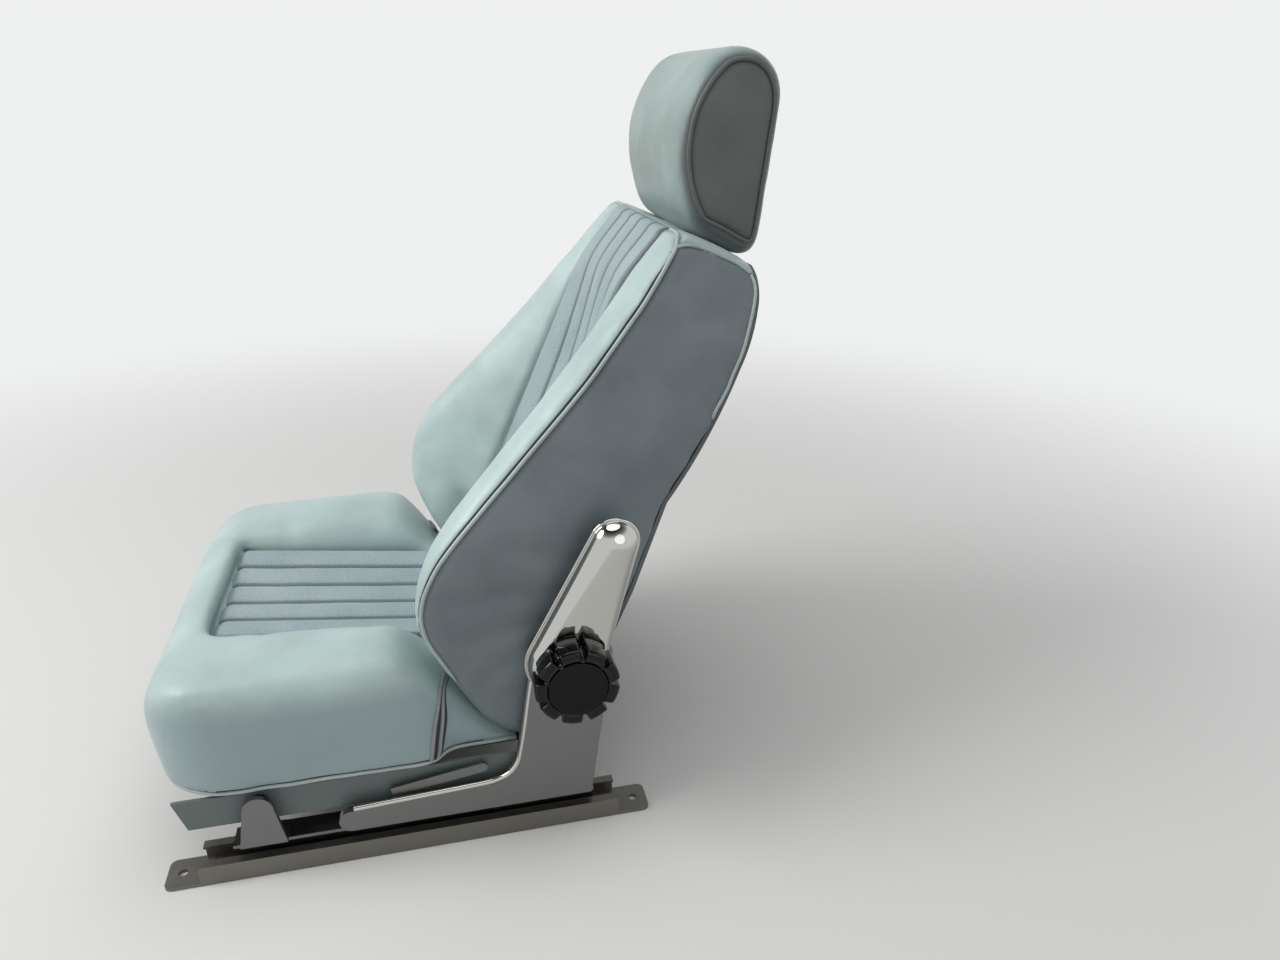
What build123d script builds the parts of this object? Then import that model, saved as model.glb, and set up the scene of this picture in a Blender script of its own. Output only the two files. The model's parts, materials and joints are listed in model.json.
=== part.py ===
from build123d import *
from math import asin, cos, radians, sin, sqrt
import os

# A reclining bucket seat for an open two-seater. It faces -Y, +Z is up, and +X is the inner side,
# where the recliner knob is. The origin is on the floor, in the middle of the four floor bolts.
# Lengths are in millimetres and angles in degrees.

# Recliner hinge and the lean of the backrest as it stands
hinge_y = 190.0
hinge_z = 240.0
lean_angle = 24.0

# Runners
rail_x = 248.0              # middle of each runner
rail_width = 44.0
rail_height = 26.0
rail_wall = 3.0
rail_half_length = 245.0
rail_slot = 22.0            # mouth of the lower rail
foot_length = 40.0
foot_thickness = 4.0
foot_bolt_y = 268.0
foot_bolt_radius = 5.25
foot_corner = 8.0
foot_overlap = 5.0          # each foot runs this far under its rail
slider_front_y = -205.0
slider_rear_y = 215.0
slider_flange = 34.0
slider_web = 8.0
slider_low_z = 6.0
slider_lip = 3.0
slider_lip_height = 14.0
slider_plate = 4.0
slider_top_z = 44.0
slider_top_width = 30.0

# Side brackets, hinge arms and covers: places across the seat
bracket_inner_x = 264.0
bracket_thickness = 6.0
bracket_rim = 3.5           # turned edge round the pressed bracket
bracket_rim_depth = 4.0
foot_plate = (32.0, 5.0, 6.0)   # width across, thickness and corner of the plates on the upper rails
arm_inner_x = 271.0
arm_thickness = 5.0
cover_inner_x = 272.0
cover_depth = 24.0
cover_wall = 2.5
cover_taper = 28.0
cover_edge = 3.0            # bevel round the raised face
boss_heights = (82.0, 132.0)    # screws that hold each arm to the backrest, up from the hinge
boss_depth = -6.0
boss_radius = 8.0
boss_end_x = 231.0
pin_radius = 8.0
pin_head_radius = 13.0
pin_head_x = 258.0
pin_cap_radius = 15.0
pin_cap_depth = 6.0
running_gap = 0.06          # radial gap of a shaft that turns or slides in a bore

# Seat frame under the cushion
tube_radius = 10.0
tube_z = 94.0
front_tube_y = hinge_y - 360.0
rear_tube_y = hinge_y - 20.0
side_tube_x = 200.0
tube_wall = 2.0
tube_end_x = bracket_inner_x     # the tubes butt against the brackets and risers
spring_wire_radius = 2.0
spring_count = 4
spring_pitch = 94.0         # from one spring to the next, across the seat
spring_half_width = 30.0
spring_bends = 8
spring_hook = 20.0          # straight end of each spring over its tube

# Cushion
cushion_half_width = 262.0
cushion_rear_half_width = 238.0
cushion_front = -480.0      # front of the cushion, from the hinge
cushion_waist = -160.0      # where the wide front part ends, from the hinge
cushion_bottom = -132.0     # below the hinge
cushion_tongue_half_width = 148.0
cushion_gap_radius = 90.0   # the tongue stops this far from the hinge
cushion_side_gap_radius = 140.0
cushion_slope = 7.0
cushion_edge = 30.0         # rounding of the side rolls

# Side valances and the release lever
valance_x = 249.0
valance_thickness = 4.0
valance_bottom = -172.0
lever_x = 258.0
lever_thickness = 3.5

# Backrest
back_half_width = 250.0
back_top = 484.0            # up the back from the hinge
wing_radius = 133.0         # lower end of the side wings, round the hinge
back_middle_radius = 85.0   # lower end between the wings, round the hinge
wing_inner_x = 156.0
back_panel_thickness = 5.0
insert_seat = -40.0         # depth of the recess that holds the pleated panel
rear_depth = 44.0
panel_margin = 10.0         # the back panel stops this far inside the padding
panel_low = -70.0

# Pleats: seams from the middle outwards, the same on cushion and backrest
pleat_width = 47.6
pleat_count = 5
pleat_rise = 7.0
insert_half_width = pleat_width * pleat_count / 2

# Headrest
head_half_width = 135.0
head_edge = 13.0
post_x = 62.0
post_depth = 6.0
post_radius = 6.0
post_low = 320.0
post_high = 610.0
sleeve_radius = 10.0
sleeve_length = 70.0
sleeve_flange_radius = 14.0
sleeve_flange_height = 3.0

# Recliner knob
knob_x = 298.0
knob_depth = 30.0
knob_radius = 47.5
knob_hub_radius = 38.0
knob_lobes = 9
knob_lobe_width = 21.0
knob_lobe_corner = 4.5
knob_edge = 4.0
knob_cap_radius = 33.0
knob_cap_recess = 2.0
knob_socket_depth = 20.0

lean = radians(lean_angle)
hinge = (0, hinge_y, hinge_z)
side_view = Plane(origin=hinge, x_dir=(0, 1, 0), z_dir=(1, 0, 0))
back_side = Plane(origin=hinge, x_dir=(0, cos(lean), -sin(lean)), z_dir=(1, 0, 0))
back_front = Plane(origin=hinge, x_dir=(1, 0, 0), z_dir=(0, -cos(lean), sin(lean)))
back_section = Plane(origin=hinge, x_dir=(1, 0, 0), z_dir=(0, sin(lean), cos(lean)))

sides = {"inner": 1, "outer": -1}
os.makedirs("parts", exist_ok=True)


def save(builder, name):
    builder.part.label = name
    export_step(builder.part, f"parts/{name}.step")


# Lower rails: lipped channels with a bolted foot at each end
for side, sign in sides.items():
    with BuildPart() as lower_rail:
        with BuildSketch(Plane.XZ.offset(-rail_half_length)):
            with Locations((sign * rail_x, rail_height / 2)):
                Rectangle(rail_width, rail_height)
            with Locations((sign * rail_x, rail_height / 2)):
                Rectangle(rail_width - 2 * rail_wall, rail_height - 2 * rail_wall, mode=Mode.SUBTRACT)
            with Locations((sign * rail_x, rail_height)):
                Rectangle(rail_slot, 2 * rail_height - 2 * rail_wall, mode=Mode.SUBTRACT)
            with Locations((sign * rail_x, rail_wall / 2)):
                Rectangle(rail_slot, rail_wall)
        extrude(amount=2 * rail_half_length)
        for end in (-1, 1):
            with BuildSketch(Plane.XY):
                with Locations((sign * rail_x, end * (rail_half_length + foot_length / 2 - foot_overlap))):
                    RectangleRounded(rail_width, foot_length + 2 * foot_overlap, foot_corner)
            extrude(amount=foot_thickness)
        with Locations(*[(sign * rail_x, end * foot_bolt_y, foot_thickness) for end in (-1, 1)]):
            Hole(foot_bolt_radius)
    save(lower_rail, f"lower_rail_{side}")

# Upper rails: an inverted tee that slides in the lower rail, with a flat top for the brackets
for side, sign in sides.items():
    with BuildPart() as upper_rail:
        with BuildSketch(Plane.XZ.offset(-slider_rear_y)):
            with Locations((sign * rail_x, slider_low_z + slider_plate / 2)):
                Rectangle(slider_flange, slider_plate)
            for edge in (-1, 1):
                lip_x = sign * rail_x + edge * (slider_flange - slider_lip) / 2
                with Locations((lip_x, slider_low_z + slider_lip_height / 2)):
                    Rectangle(slider_lip, slider_lip_height)
            with Locations((sign * rail_x, (slider_low_z + slider_top_z) / 2)):
                Rectangle(slider_web, slider_top_z - slider_low_z)
            with Locations((sign * rail_x, slider_top_z - slider_plate / 2)):
                Rectangle(slider_top_width, slider_plate)
        extrude(amount=slider_rear_y - slider_front_y)
    save(upper_rail, f"upper_rail_{side}")

# Hinge brackets: a pressed leg under the hinge that turns forwards into a long foot on the upper
# rail, with a rim turned inwards all round
foot_z = slider_top_z - hinge_z
for side, sign in sides.items():
    with BuildPart() as bracket:
        for face_x, depth, rim_only in ((bracket_inner_x, bracket_thickness, False),
                                        (bracket_inner_x - bracket_rim_depth, bracket_rim_depth, True)):
            with BuildSketch(side_view.offset(sign * face_x)):
                with BuildLine():
                    ThreePointArc((-48, -14), (0, 50), (48, -14))
                    Line((48, -14), (21, foot_z))
                    Line((21, foot_z), (-262, foot_z))
                    ThreePointArc((-262, foot_z), (-276, foot_z + 14), (-262, foot_z + 28))
                    Line((-262, foot_z + 28), (-108, -160))
                    ThreePointArc((-108, -160), (-78, -151), (-66, -124))
                    Line((-66, -124), (-48, -14))
                make_face()
                if rim_only:
                    offset(amount=-bracket_rim, mode=Mode.SUBTRACT)
                else:
                    Circle(pin_radius, mode=Mode.SUBTRACT)
            extrude(amount=sign * depth)
        with BuildSketch(Plane.XY.offset(slider_top_z)):
            with Locations((sign * (bracket_inner_x - 10), hinge_y - 120)):
                RectangleRounded(foot_plate[0], 276, foot_plate[2])
        extrude(amount=foot_plate[1])
    save(bracket, f"hinge_bracket_{side}")

# Front risers carry the front tube on the upper rails
riser_y = front_tube_y - hinge_y
riser_z = tube_z - hinge_z
for side, sign in sides.items():
    with BuildPart() as riser:
        with BuildSketch(side_view.offset(sign * bracket_inner_x)):
            with BuildLine():
                Polyline((riser_y - 26, foot_z), (riser_y + 26, foot_z), (riser_y + 17, riser_z),
                         (riser_y - 17, riser_z), (riser_y - 26, foot_z))
            make_face()
            with Locations((riser_y, riser_z)):
                Circle(17)
        extrude(amount=sign * bracket_thickness)
        with BuildSketch(Plane.XY.offset(slider_top_z)):
            with Locations((sign * (bracket_inner_x - 10), front_tube_y)):
                RectangleRounded(foot_plate[0], 52, foot_plate[2])
        extrude(amount=foot_plate[1])
    save(riser, f"front_riser_{side}")

# Tubes of the seat frame: two across, two along that butt against them
for name, tube_y in {"front_tube": front_tube_y, "rear_tube": rear_tube_y}.items():
    with BuildPart() as tube:
        with BuildSketch(Plane.YZ.offset(-tube_end_x)):
            with Locations((tube_y, tube_z)):
                Circle(tube_radius)
                Circle(tube_radius - tube_wall, mode=Mode.SUBTRACT)
        extrude(amount=2 * tube_end_x)
    save(tube, name)

for side, sign in sides.items():
    with BuildPart() as side_tube:
        with BuildSketch(Plane.XZ.offset(-rear_tube_y)):
            with Locations((sign * side_tube_x, tube_z)):
                Circle(tube_radius - 1)
                Circle(tube_radius - 1 - tube_wall, mode=Mode.SUBTRACT)
        extrude(amount=rear_tube_y - front_tube_y)
        for tube_y in (front_tube_y, rear_tube_y):
            with BuildSketch(Plane.YZ.offset(-tube_end_x)):
                with Locations((tube_y, tube_z)):
                    Circle(tube_radius)
            extrude(amount=2 * tube_end_x, mode=Mode.SUBTRACT)
    save(side_tube, f"side_tube_{side}")

# Zigzag springs laid over the two cross tubes, under the cushion. The wire is six-sided, bent to
# and fro between two cross runs at each side
spring_z = tube_z + tube_radius + spring_wire_radius
spring_run = (rear_tube_y - front_tube_y - 2 * spring_hook) / spring_bends
with BuildPart() as springs:
    for row in range(spring_count):
        middle_x = (row - (spring_count - 1) / 2) * spring_pitch
        corners = [(middle_x, front_tube_y - 4, spring_z), (middle_x, front_tube_y + spring_hook, spring_z)]
        for bend in range(spring_bends):
            reach = spring_half_width if bend % 2 else -spring_half_width
            for along in (bend + 0.2, bend + 0.8):
                corners.append((middle_x + reach, front_tube_y + spring_hook + along * spring_run, spring_z))
        corners += [(middle_x, rear_tube_y - spring_hook, spring_z), (middle_x, rear_tube_y + 4, spring_z)]
        with BuildLine() as wire:
            Polyline(*corners)
        with BuildSketch(Plane(origin=wire.line @ 0, z_dir=wire.line % 0)):
            RegularPolygon(spring_wire_radius, 6)
        sweep(path=wire.line, transition=Transition.RIGHT)
save(springs, "seat_springs")

# Cushion: a wide front part with side rolls, a narrower rear, and a tongue that runs back between
# the wings of the backrest
pleat_floor = -52.0         # seat of the pleated panel, below the hinge, where the slope starts
slope = radians(cushion_slope)
cushion_slope_start = (0, hinge_y - 200, hinge_z + pleat_floor)
cushion_section = Plane(origin=cushion_slope_start, x_dir=(1, 0, 0), z_dir=(0, -cos(slope), sin(slope)))
with BuildPart() as cushion:
    with BuildSketch(side_view):
        with BuildLine():
            rear_edge = sqrt(cushion_side_gap_radius**2 - cushion_bottom**2)
            Line((-rear_edge, cushion_bottom), (-462, cushion_bottom))
            Line((-462, cushion_bottom), (cushion_front, -60))
            ThreePointArc((cushion_front, -60), (-466, -12), (-425, 14))
            Line((-425, 14), (-206, 20))
            ThreePointArc((-206, 20), (-187, 11), (-174, -10))
            Line((-174, -10), (-121.2, -70))
            ThreePointArc((-121.2, -70), (-92, -105.5), (-rear_edge, cushion_bottom))
        make_face()
    extrude(amount=cushion_half_width, both=True)
    with BuildSketch(Plane.XY.offset(hinge_z + cushion_bottom)):
        with BuildLine():
            front = hinge_y + cushion_front - 5
            waist = hinge_y + cushion_waist
            rear = hinge_y + 20
            Line((0, front), (150, front))
            ThreePointArc((150, front), (228, front + 26), (cushion_half_width, front + 105))
            Polyline((cushion_half_width, front + 105), (cushion_half_width, waist),
                     (cushion_rear_half_width, waist + 16), (cushion_rear_half_width, rear), (0, rear))
            mirror(about=Plane.YZ)
        make_face()
    extrude(amount=200, mode=Mode.INTERSECT)
    with BuildSketch(Plane.XZ.offset(-hinge_y)):
        with Locations((0, hinge_z + 21 - 200)):
            RectangleRounded(2 * cushion_half_width, 400, cushion_edge)
    extrude(amount=500, mode=Mode.INTERSECT)
    with BuildSketch(side_view):
        with BuildLine():
            Line((0, cushion_bottom), (-260, cushion_bottom))
            Line((-260, cushion_bottom), (-260, -44))
            Line((-260, -44), (-78, -45))
            ThreePointArc((-78, -45), (-48, -76.1), (0, -cushion_gap_radius))
            Line((0, -cushion_gap_radius), (0, cushion_bottom))
        make_face()
    extrude(amount=cushion_tongue_half_width, both=True)
    with BuildSketch(cushion_section.offset(-150)):
        with BuildLine():
            Polyline((0, 0), (insert_half_width, 0), (insert_half_width + 6, 18))
            ThreePointArc((insert_half_width + 6, 18), (154, 58), (202, 84))
            Polyline((202, 84), (215, 150), (0, 150))
            mirror(about=Plane.YZ)
        make_face()
    extrude(amount=370, mode=Mode.SUBTRACT)
save(cushion, "seat_cushion")

# Pleated panel of the cushion: seams set lower in the middle, each pleat a shallow arc
seam_heights = {"cushion": (18, 14, 11), "backrest": (36, 18, 13)}      # outer seam, next, middle


def pleat_outline(heights, floor, up):
    """Closed outline of the five pleats on a floor line. up is 1 or -1, the way that they stand."""
    outer, middle, centre = heights
    seams = [outer, middle, centre, centre, middle, outer]
    places = [(pleat_width * n - insert_half_width, floor + up * seams[n]) for n in range(pleat_count + 1)]
    Line((-insert_half_width, floor), places[0])
    for start, end in zip(places, places[1:]):
        crown = ((start[0] + end[0]) / 2, (start[1] + end[1]) / 2 + up * pleat_rise)
        ThreePointArc(start, crown, end)
    Line(places[-1], (insert_half_width, floor))
    Line((insert_half_width, floor), (-insert_half_width, floor))


with BuildPart() as cushion_insert:
    with BuildSketch(cushion_section.offset(220)):
        with BuildLine():
            pleat_outline(seam_heights["cushion"], 0, 1)
        make_face()
    extrude(amount=-330)
    with BuildSketch(side_view):
        with Locations((-220, 0)):
            Rectangle(420, 160)
        Circle(cushion_gap_radius, mode=Mode.SUBTRACT)
    extrude(amount=insert_half_width, both=True, mode=Mode.INTERSECT)
save(cushion_insert, "cushion_insert")

# Side valances below the cushion, and the flat release lever that comes out above one of them
for side, sign in sides.items():
    with BuildPart() as valance:
        with BuildSketch(side_view.offset(sign * valance_x)):
            with BuildLine():
                Polyline((-60, cushion_bottom), (-452, cushion_bottom), (-440, valance_bottom),
                         (-90, valance_bottom), (-60, cushion_bottom))
            make_face()
            with Locations(*[(tube_y - hinge_y, tube_z - hinge_z) for tube_y in (front_tube_y, rear_tube_y)]):
                Circle(tube_radius, mode=Mode.SUBTRACT)
        extrude(amount=sign * valance_thickness)
    save(valance, f"side_valance_{side}")

with BuildPart() as lever:
    with BuildSketch(side_view.offset(lever_x)):
        with BuildLine():
            Polyline((-215, -162), (-140, -152), (-108, -147))
            ThreePointArc((-108, -147), (-102, -141), (-110, -135))
            Polyline((-110, -135), (-146, -140), (-215, -151), (-215, -162))
        make_face()
    extrude(amount=lever_thickness)
save(lever, "slide_lever")

# Backrest: one side outline for the wings, cut by the front outline, hollowed between the rolls
wing_end = sqrt(wing_radius**2 - rear_depth**2)
with BuildPart() as backrest_pad:
    with BuildSketch(back_side):
        with BuildLine():
            ThreePointArc((-94, -94), (-27, -130.2), (rear_depth, -wing_end))
            Line((rear_depth, -wing_end), (rear_depth, 200))
            ThreePointArc((rear_depth, 200), (63, 290), (69, 370))
            ThreePointArc((69, 370), (64, 432), (rear_depth, back_top))
            Line((rear_depth, back_top), (-54, back_top))
            Line((-54, back_top), (-112, 300))
            Line((-112, 300), (-178, 110))
            ThreePointArc((-178, 110), (-190, 34), (-166, -38))
            ThreePointArc((-166, -38), (-133, -65), (-94, -94))
        make_face()
    extrude(amount=back_half_width, both=True)
    with BuildSketch(back_front.offset(-80)):
        with BuildLine():
            Polyline((0, -140), (back_half_width, -140), (back_half_width, 90), (215, 300), (194, 440))
            ThreePointArc((194, 440), (184, 472), (150, back_top))
            Line((150, back_top), (0, back_top))
            mirror(about=Plane.YZ)
        make_face()
    extrude(amount=300, mode=Mode.INTERSECT)
    with BuildSketch(back_side):
        Circle(wing_radius + 80)
        Circle(back_middle_radius, mode=Mode.SUBTRACT)
        with Locations((0, 260)):
            Rectangle(600, 520, mode=Mode.SUBTRACT)
    extrude(amount=wing_inner_x, both=True, mode=Mode.SUBTRACT)
    # Each section of the hollow: height up the back, depth of the seam, half width and depth of the
    # side roll's crest
    hollow_sections = [(-140, -88, 206, -182), (110, -82, 200, -180), (300, -78, 168, -113),
                       (500, -66, 146, -70)]
    for height, seam_depth, crest_x, crest_depth in hollow_sections:
        with BuildSketch(back_section.offset(height)):
            with BuildLine():
                flare_x = crest_x + 0.5 * (crest_x - insert_half_width)
                flare_depth = crest_depth + 0.5 * (crest_depth - seam_depth) - 60
                half = Polyline((0, insert_seat), (insert_half_width, insert_seat),
                                (insert_half_width + 3, seam_depth), (crest_x, crest_depth - 1),
                                (flare_x, flare_depth), (0, flare_depth))
                mirror(half, about=Plane.YZ)
            make_face()
    loft(ruled=True, mode=Mode.SUBTRACT)
    with Locations(*[back_section.offset(back_top).location * Location((x, post_depth, 0))
                     for x in (-post_x, post_x)]):
        Hole(sleeve_radius, depth=sleeve_length)
        Hole(post_radius + 1, depth=back_top - post_low + 12)
    for sign in sides.values():
        with BuildSketch(back_side.offset(sign * boss_end_x)):
            with Locations(*[(boss_depth, height) for height in boss_heights]):
                Circle(boss_radius)
        extrude(amount=sign * 40, mode=Mode.SUBTRACT)
save(backrest_pad, "backrest_pad")

# Pleated panel of the backrest, seated in the recess
with BuildPart() as backrest_insert:
    with BuildSketch(back_section.offset(-90)):
        with BuildLine():
            pleat_outline(seam_heights["backrest"], insert_seat, -1)
        make_face()
    extrude(amount=90 + back_top)
    with BuildSketch(back_side):
        with Locations((0, 200)):
            Rectangle(300, 600)
        with Locations((0, -100)):
            Rectangle(300, 200, mode=Mode.SUBTRACT)
        Circle(back_middle_radius)
        with BuildLine():
            Polyline((-150, back_top + 20), (-54, back_top + 20), (-54, back_top), (-112, 300), (-150, 300),
                     (-150, back_top + 20))
        make_face(mode=Mode.SUBTRACT)
    extrude(amount=insert_half_width, both=True, mode=Mode.INTERSECT)
save(backrest_insert, "backrest_insert")

# Back panel: a thin moulded skin over the rear of the pad
with BuildPart() as back_panel:
    with BuildSketch(back_side):
        with BuildLine():
            for out in (0, back_panel_thickness):
                Line((rear_depth + out, panel_low), (rear_depth + out, 200))
                ThreePointArc((rear_depth + out, 200), (63 + out, 290), (69 + out, 370))
                ThreePointArc((69 + out, 370), (64 + out, 432), (rear_depth + out, back_top))
            for end in (panel_low, back_top):
                Line((rear_depth, end), (rear_depth + back_panel_thickness, end))
        make_face()
    extrude(amount=back_half_width, both=True)
    with BuildSketch(back_front.offset(-120)):
        with BuildLine():
            Polyline((0, panel_low), (back_half_width - 4 * panel_margin, panel_low),
                     (back_half_width - panel_margin, panel_low + 3 * panel_margin),
                     (back_half_width - panel_margin, 90), (215 - panel_margin, 300),
                     (194 - panel_margin, 440))
            ThreePointArc((194 - panel_margin, 440), (182 - panel_margin, 468), (150, back_top - 4))
            Line((150, back_top - 4), (0, back_top - 4))
            mirror(about=Plane.YZ)
        make_face()
    extrude(amount=200, mode=Mode.INTERSECT)
save(back_panel, "back_panel")

# Headrest sleeves in the top of the backrest, and the two posts that slide in them
for side, sign in sides.items():
    post_place = Location((sign * post_x, post_depth))
    with BuildPart() as sleeve:
        with BuildSketch(back_section.offset(back_top - sleeve_length)):
            with Locations(post_place):
                Circle(sleeve_radius)
        extrude(amount=sleeve_length)
        with BuildSketch(back_section.offset(back_top)):
            with Locations(post_place):
                Circle(sleeve_flange_radius)
        extrude(amount=sleeve_flange_height)
        with BuildSketch(back_section.offset(back_top - sleeve_length)):
            with Locations(post_place):
                Circle(post_radius + running_gap)
        extrude(amount=sleeve_length + sleeve_flange_height, mode=Mode.SUBTRACT)
    save(sleeve, f"headrest_sleeve_{side}")
    with BuildPart() as post:
        with BuildSketch(back_section.offset(post_low)):
            with Locations(post_place):
                Circle(post_radius)
        extrude(amount=post_high - post_low)
    save(post, f"headrest_post_{side}")

# Headrest: a D in side view, flat behind and round in front, with two bores for the posts
with BuildPart() as headrest:
    with BuildSketch(side_view):
        with BuildLine():
            ThreePointArc((179, 461), (157, 540), (182, 616))
            ThreePointArc((182, 616), (214, 645), (256, 640))
            ThreePointArc((256, 640), (275, 622), (281, 590))
            Line((281, 590), (262, 438))
            ThreePointArc((262, 438), (252, 427), (236, 430))
            Line((236, 430), (179, 461))
        make_face()
    extrude(amount=head_half_width, both=True)
    chamfer(headrest.faces().filter_by(Axis.X).edges(), head_edge)
    for sign in sides.values():
        with BuildSketch(back_section.offset(post_low)):
            with Locations((sign * post_x, post_depth)):
                Circle(post_radius)
        extrude(amount=post_high - post_low, mode=Mode.SUBTRACT)
save(headrest, "headrest_pad")

# Recliner hinge on each side: a pin in the bracket, an arm on the backrest and a domed cover
def teardrop(low, low_radius, high, high_radius):
    """Closed outline round two circles, with straight sides that touch both."""
    low, high = Vector(*low), Vector(*high)
    along = (high - low).normalized()
    across = along.rotate(Axis.Z, 90)
    turn = asin((low_radius - high_radius) / (high - low).length)
    ends = {}
    for flank in (1, -1):
        out = along * sin(turn) + across * (flank * cos(turn))
        ends[flank] = (low + out * low_radius, high + out * high_radius)
    Line(ends[1][0], ends[1][1])
    ThreePointArc(ends[1][1], high + along * high_radius, ends[-1][1])
    Line(ends[-1][1], ends[-1][0])
    ThreePointArc(ends[-1][0], low - along * low_radius, ends[1][0])


for side, sign in sides.items():
    with BuildPart() as arm:
        with BuildSketch(back_side.offset(sign * arm_inner_x)):
            with BuildLine():
                teardrop((0, 0), 33, (-8, 146), 19)
            make_face()
            Circle(pin_radius + running_gap, mode=Mode.SUBTRACT)
        extrude(amount=sign * arm_thickness)
        with BuildSketch(back_side.offset(sign * arm_inner_x)):
            with Locations(*[(boss_depth, height) for height in boss_heights]):
                Circle(boss_radius)
        extrude(amount=-sign * (arm_inner_x - boss_end_x))
    save(arm, f"hinge_arm_{side}")

    # The cover is wide and flat round the pin and narrows upwards to a ridge with a domed end
    with BuildPart() as cover:
        for wall, mode in ((0, Mode.ADD), (cover_wall, Mode.SUBTRACT)):
            with BuildSketch(back_side.offset(sign * cover_inner_x)):
                with BuildLine():
                    teardrop((-6, 0), 47 - wall, (-11, 155), 29 - wall)
                make_face()
            extrude(amount=sign * (cover_depth - wall), taper=cover_taper, mode=mode)
            if mode == Mode.ADD:
                chamfer(cover.faces().sort_by(Axis.X)[-1 if sign > 0 else 0].outer_wire().edges(), cover_edge)
        with BuildSketch(back_side.offset(sign * cover_inner_x)):
            Circle(pin_radius + 1)
        extrude(amount=sign * 30, mode=Mode.SUBTRACT)
    save(cover, f"hinge_cover_{side}")

    pin_end = knob_x + knob_socket_depth - 2 if sign > 0 else knob_x + 2
    with BuildPart() as pin:
        with BuildSketch(side_view.offset(sign * pin_head_x)):
            Circle(pin_head_radius)
        extrude(amount=sign * (bracket_inner_x - pin_head_x))
        with BuildSketch(side_view.offset(sign * bracket_inner_x)):
            Circle(pin_radius)
        extrude(amount=sign * (pin_end - bracket_inner_x))
    save(pin, f"hinge_pin_{side}")

with BuildPart() as pin_cap:
    with BuildSketch(side_view.offset(-(knob_x + 2))):
        Circle(pin_cap_radius)
    extrude(amount=-pin_cap_depth)
save(pin_cap, "hinge_pin_cap")

# Star knob: a hub with bevelled lobes, bored for the inner pin, and a flat cap let into its face
with BuildPart() as knob:
    with BuildSketch(side_view.offset(knob_x)) as knob_outline:
        Circle(knob_hub_radius)
        with PolarLocations(knob_radius - 12, knob_lobes):
            Rectangle(24, knob_lobe_width)
        lobe_corners = knob_outline.vertices().sort_by_distance((0, 0, 0))[-2 * knob_lobes:]
        chamfer(lobe_corners, knob_lobe_corner)
    extrude(amount=knob_depth)
    chamfer(knob.faces().sort_by(Axis.X)[-1].outer_wire().edges(), knob_edge)
    with BuildSketch(side_view.offset(knob_x + knob_depth - knob_cap_recess)):
        Circle(knob_cap_radius)
    extrude(amount=knob_cap_recess, mode=Mode.SUBTRACT)
    with BuildSketch(side_view.offset(knob_x)):
        Circle(pin_radius + running_gap)
    extrude(amount=knob_socket_depth, mode=Mode.SUBTRACT)
save(knob, "recline_knob")

with BuildPart() as knob_cap:
    with BuildSketch(side_view.offset(knob_x + knob_depth - knob_cap_recess)):
        Circle(knob_cap_radius)
    extrude(amount=knob_cap_recess + 1)
save(knob_cap, "knob_cap")
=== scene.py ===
import json
import math

import bmesh
import bpy
import numpy as np
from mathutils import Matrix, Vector, noise
from mathutils.bvhtree import BVHTree
from mathutils.kdtree import KDTree


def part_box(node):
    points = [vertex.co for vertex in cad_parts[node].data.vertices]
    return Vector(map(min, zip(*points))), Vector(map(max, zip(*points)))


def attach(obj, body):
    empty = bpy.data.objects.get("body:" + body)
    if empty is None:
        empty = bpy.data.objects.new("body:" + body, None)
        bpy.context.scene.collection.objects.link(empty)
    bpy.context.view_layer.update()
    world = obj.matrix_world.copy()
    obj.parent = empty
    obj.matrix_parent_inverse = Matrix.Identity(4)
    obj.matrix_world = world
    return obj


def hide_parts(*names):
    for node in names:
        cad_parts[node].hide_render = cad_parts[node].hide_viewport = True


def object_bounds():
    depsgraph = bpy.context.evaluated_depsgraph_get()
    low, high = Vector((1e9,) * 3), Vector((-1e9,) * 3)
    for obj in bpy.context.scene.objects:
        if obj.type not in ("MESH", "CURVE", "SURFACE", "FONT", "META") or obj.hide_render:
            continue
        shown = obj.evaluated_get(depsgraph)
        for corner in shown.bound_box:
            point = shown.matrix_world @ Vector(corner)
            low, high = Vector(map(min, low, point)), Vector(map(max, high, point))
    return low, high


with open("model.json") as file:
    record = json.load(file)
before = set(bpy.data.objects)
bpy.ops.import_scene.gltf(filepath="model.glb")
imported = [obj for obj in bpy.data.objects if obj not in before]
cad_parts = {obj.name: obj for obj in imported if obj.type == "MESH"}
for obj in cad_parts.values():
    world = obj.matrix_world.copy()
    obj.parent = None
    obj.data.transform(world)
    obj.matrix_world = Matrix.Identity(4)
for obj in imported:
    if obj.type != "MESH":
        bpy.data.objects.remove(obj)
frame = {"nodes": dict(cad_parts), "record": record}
cadLow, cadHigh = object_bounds()
mm = 0.001
sides = (("inner", 1), ("outer", -1))

# The seat faces -Y. Everything on the backrest is placed by its depth behind the recliner hinge and its
# height up the back, and everything else by its place behind and above the hinge, all in millimetres.
joints = {joint["name"]: joint for joint in frame["record"]["behaviour"]["joints"]}
hinge = Vector(joints["backrest_recline"]["pos_m"])
up = Vector(joints["headrest_height"]["axis"]).normalized()
back = Vector((0, up.z, -up.y))


def backPoint(x, depth, height):
    return Vector((x * mm, hinge.y, hinge.z)) + back * depth * mm + up * height * mm


def sidePoint(x, behind, above):
    return Vector((x * mm, hinge.y + behind * mm, hinge.z + above * mm))


def fromHinge(points):
    return (points - np.array(hinge)) / mm


def onBack(points):
    # Place across, depth and height of each point in the backrest's own measures
    local = fromHinge(points)
    return local[:, 0], local @ np.array(back), local @ np.array(up)


def carried(obj, body):
    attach(obj, body)
    return obj


# Materials

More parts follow.
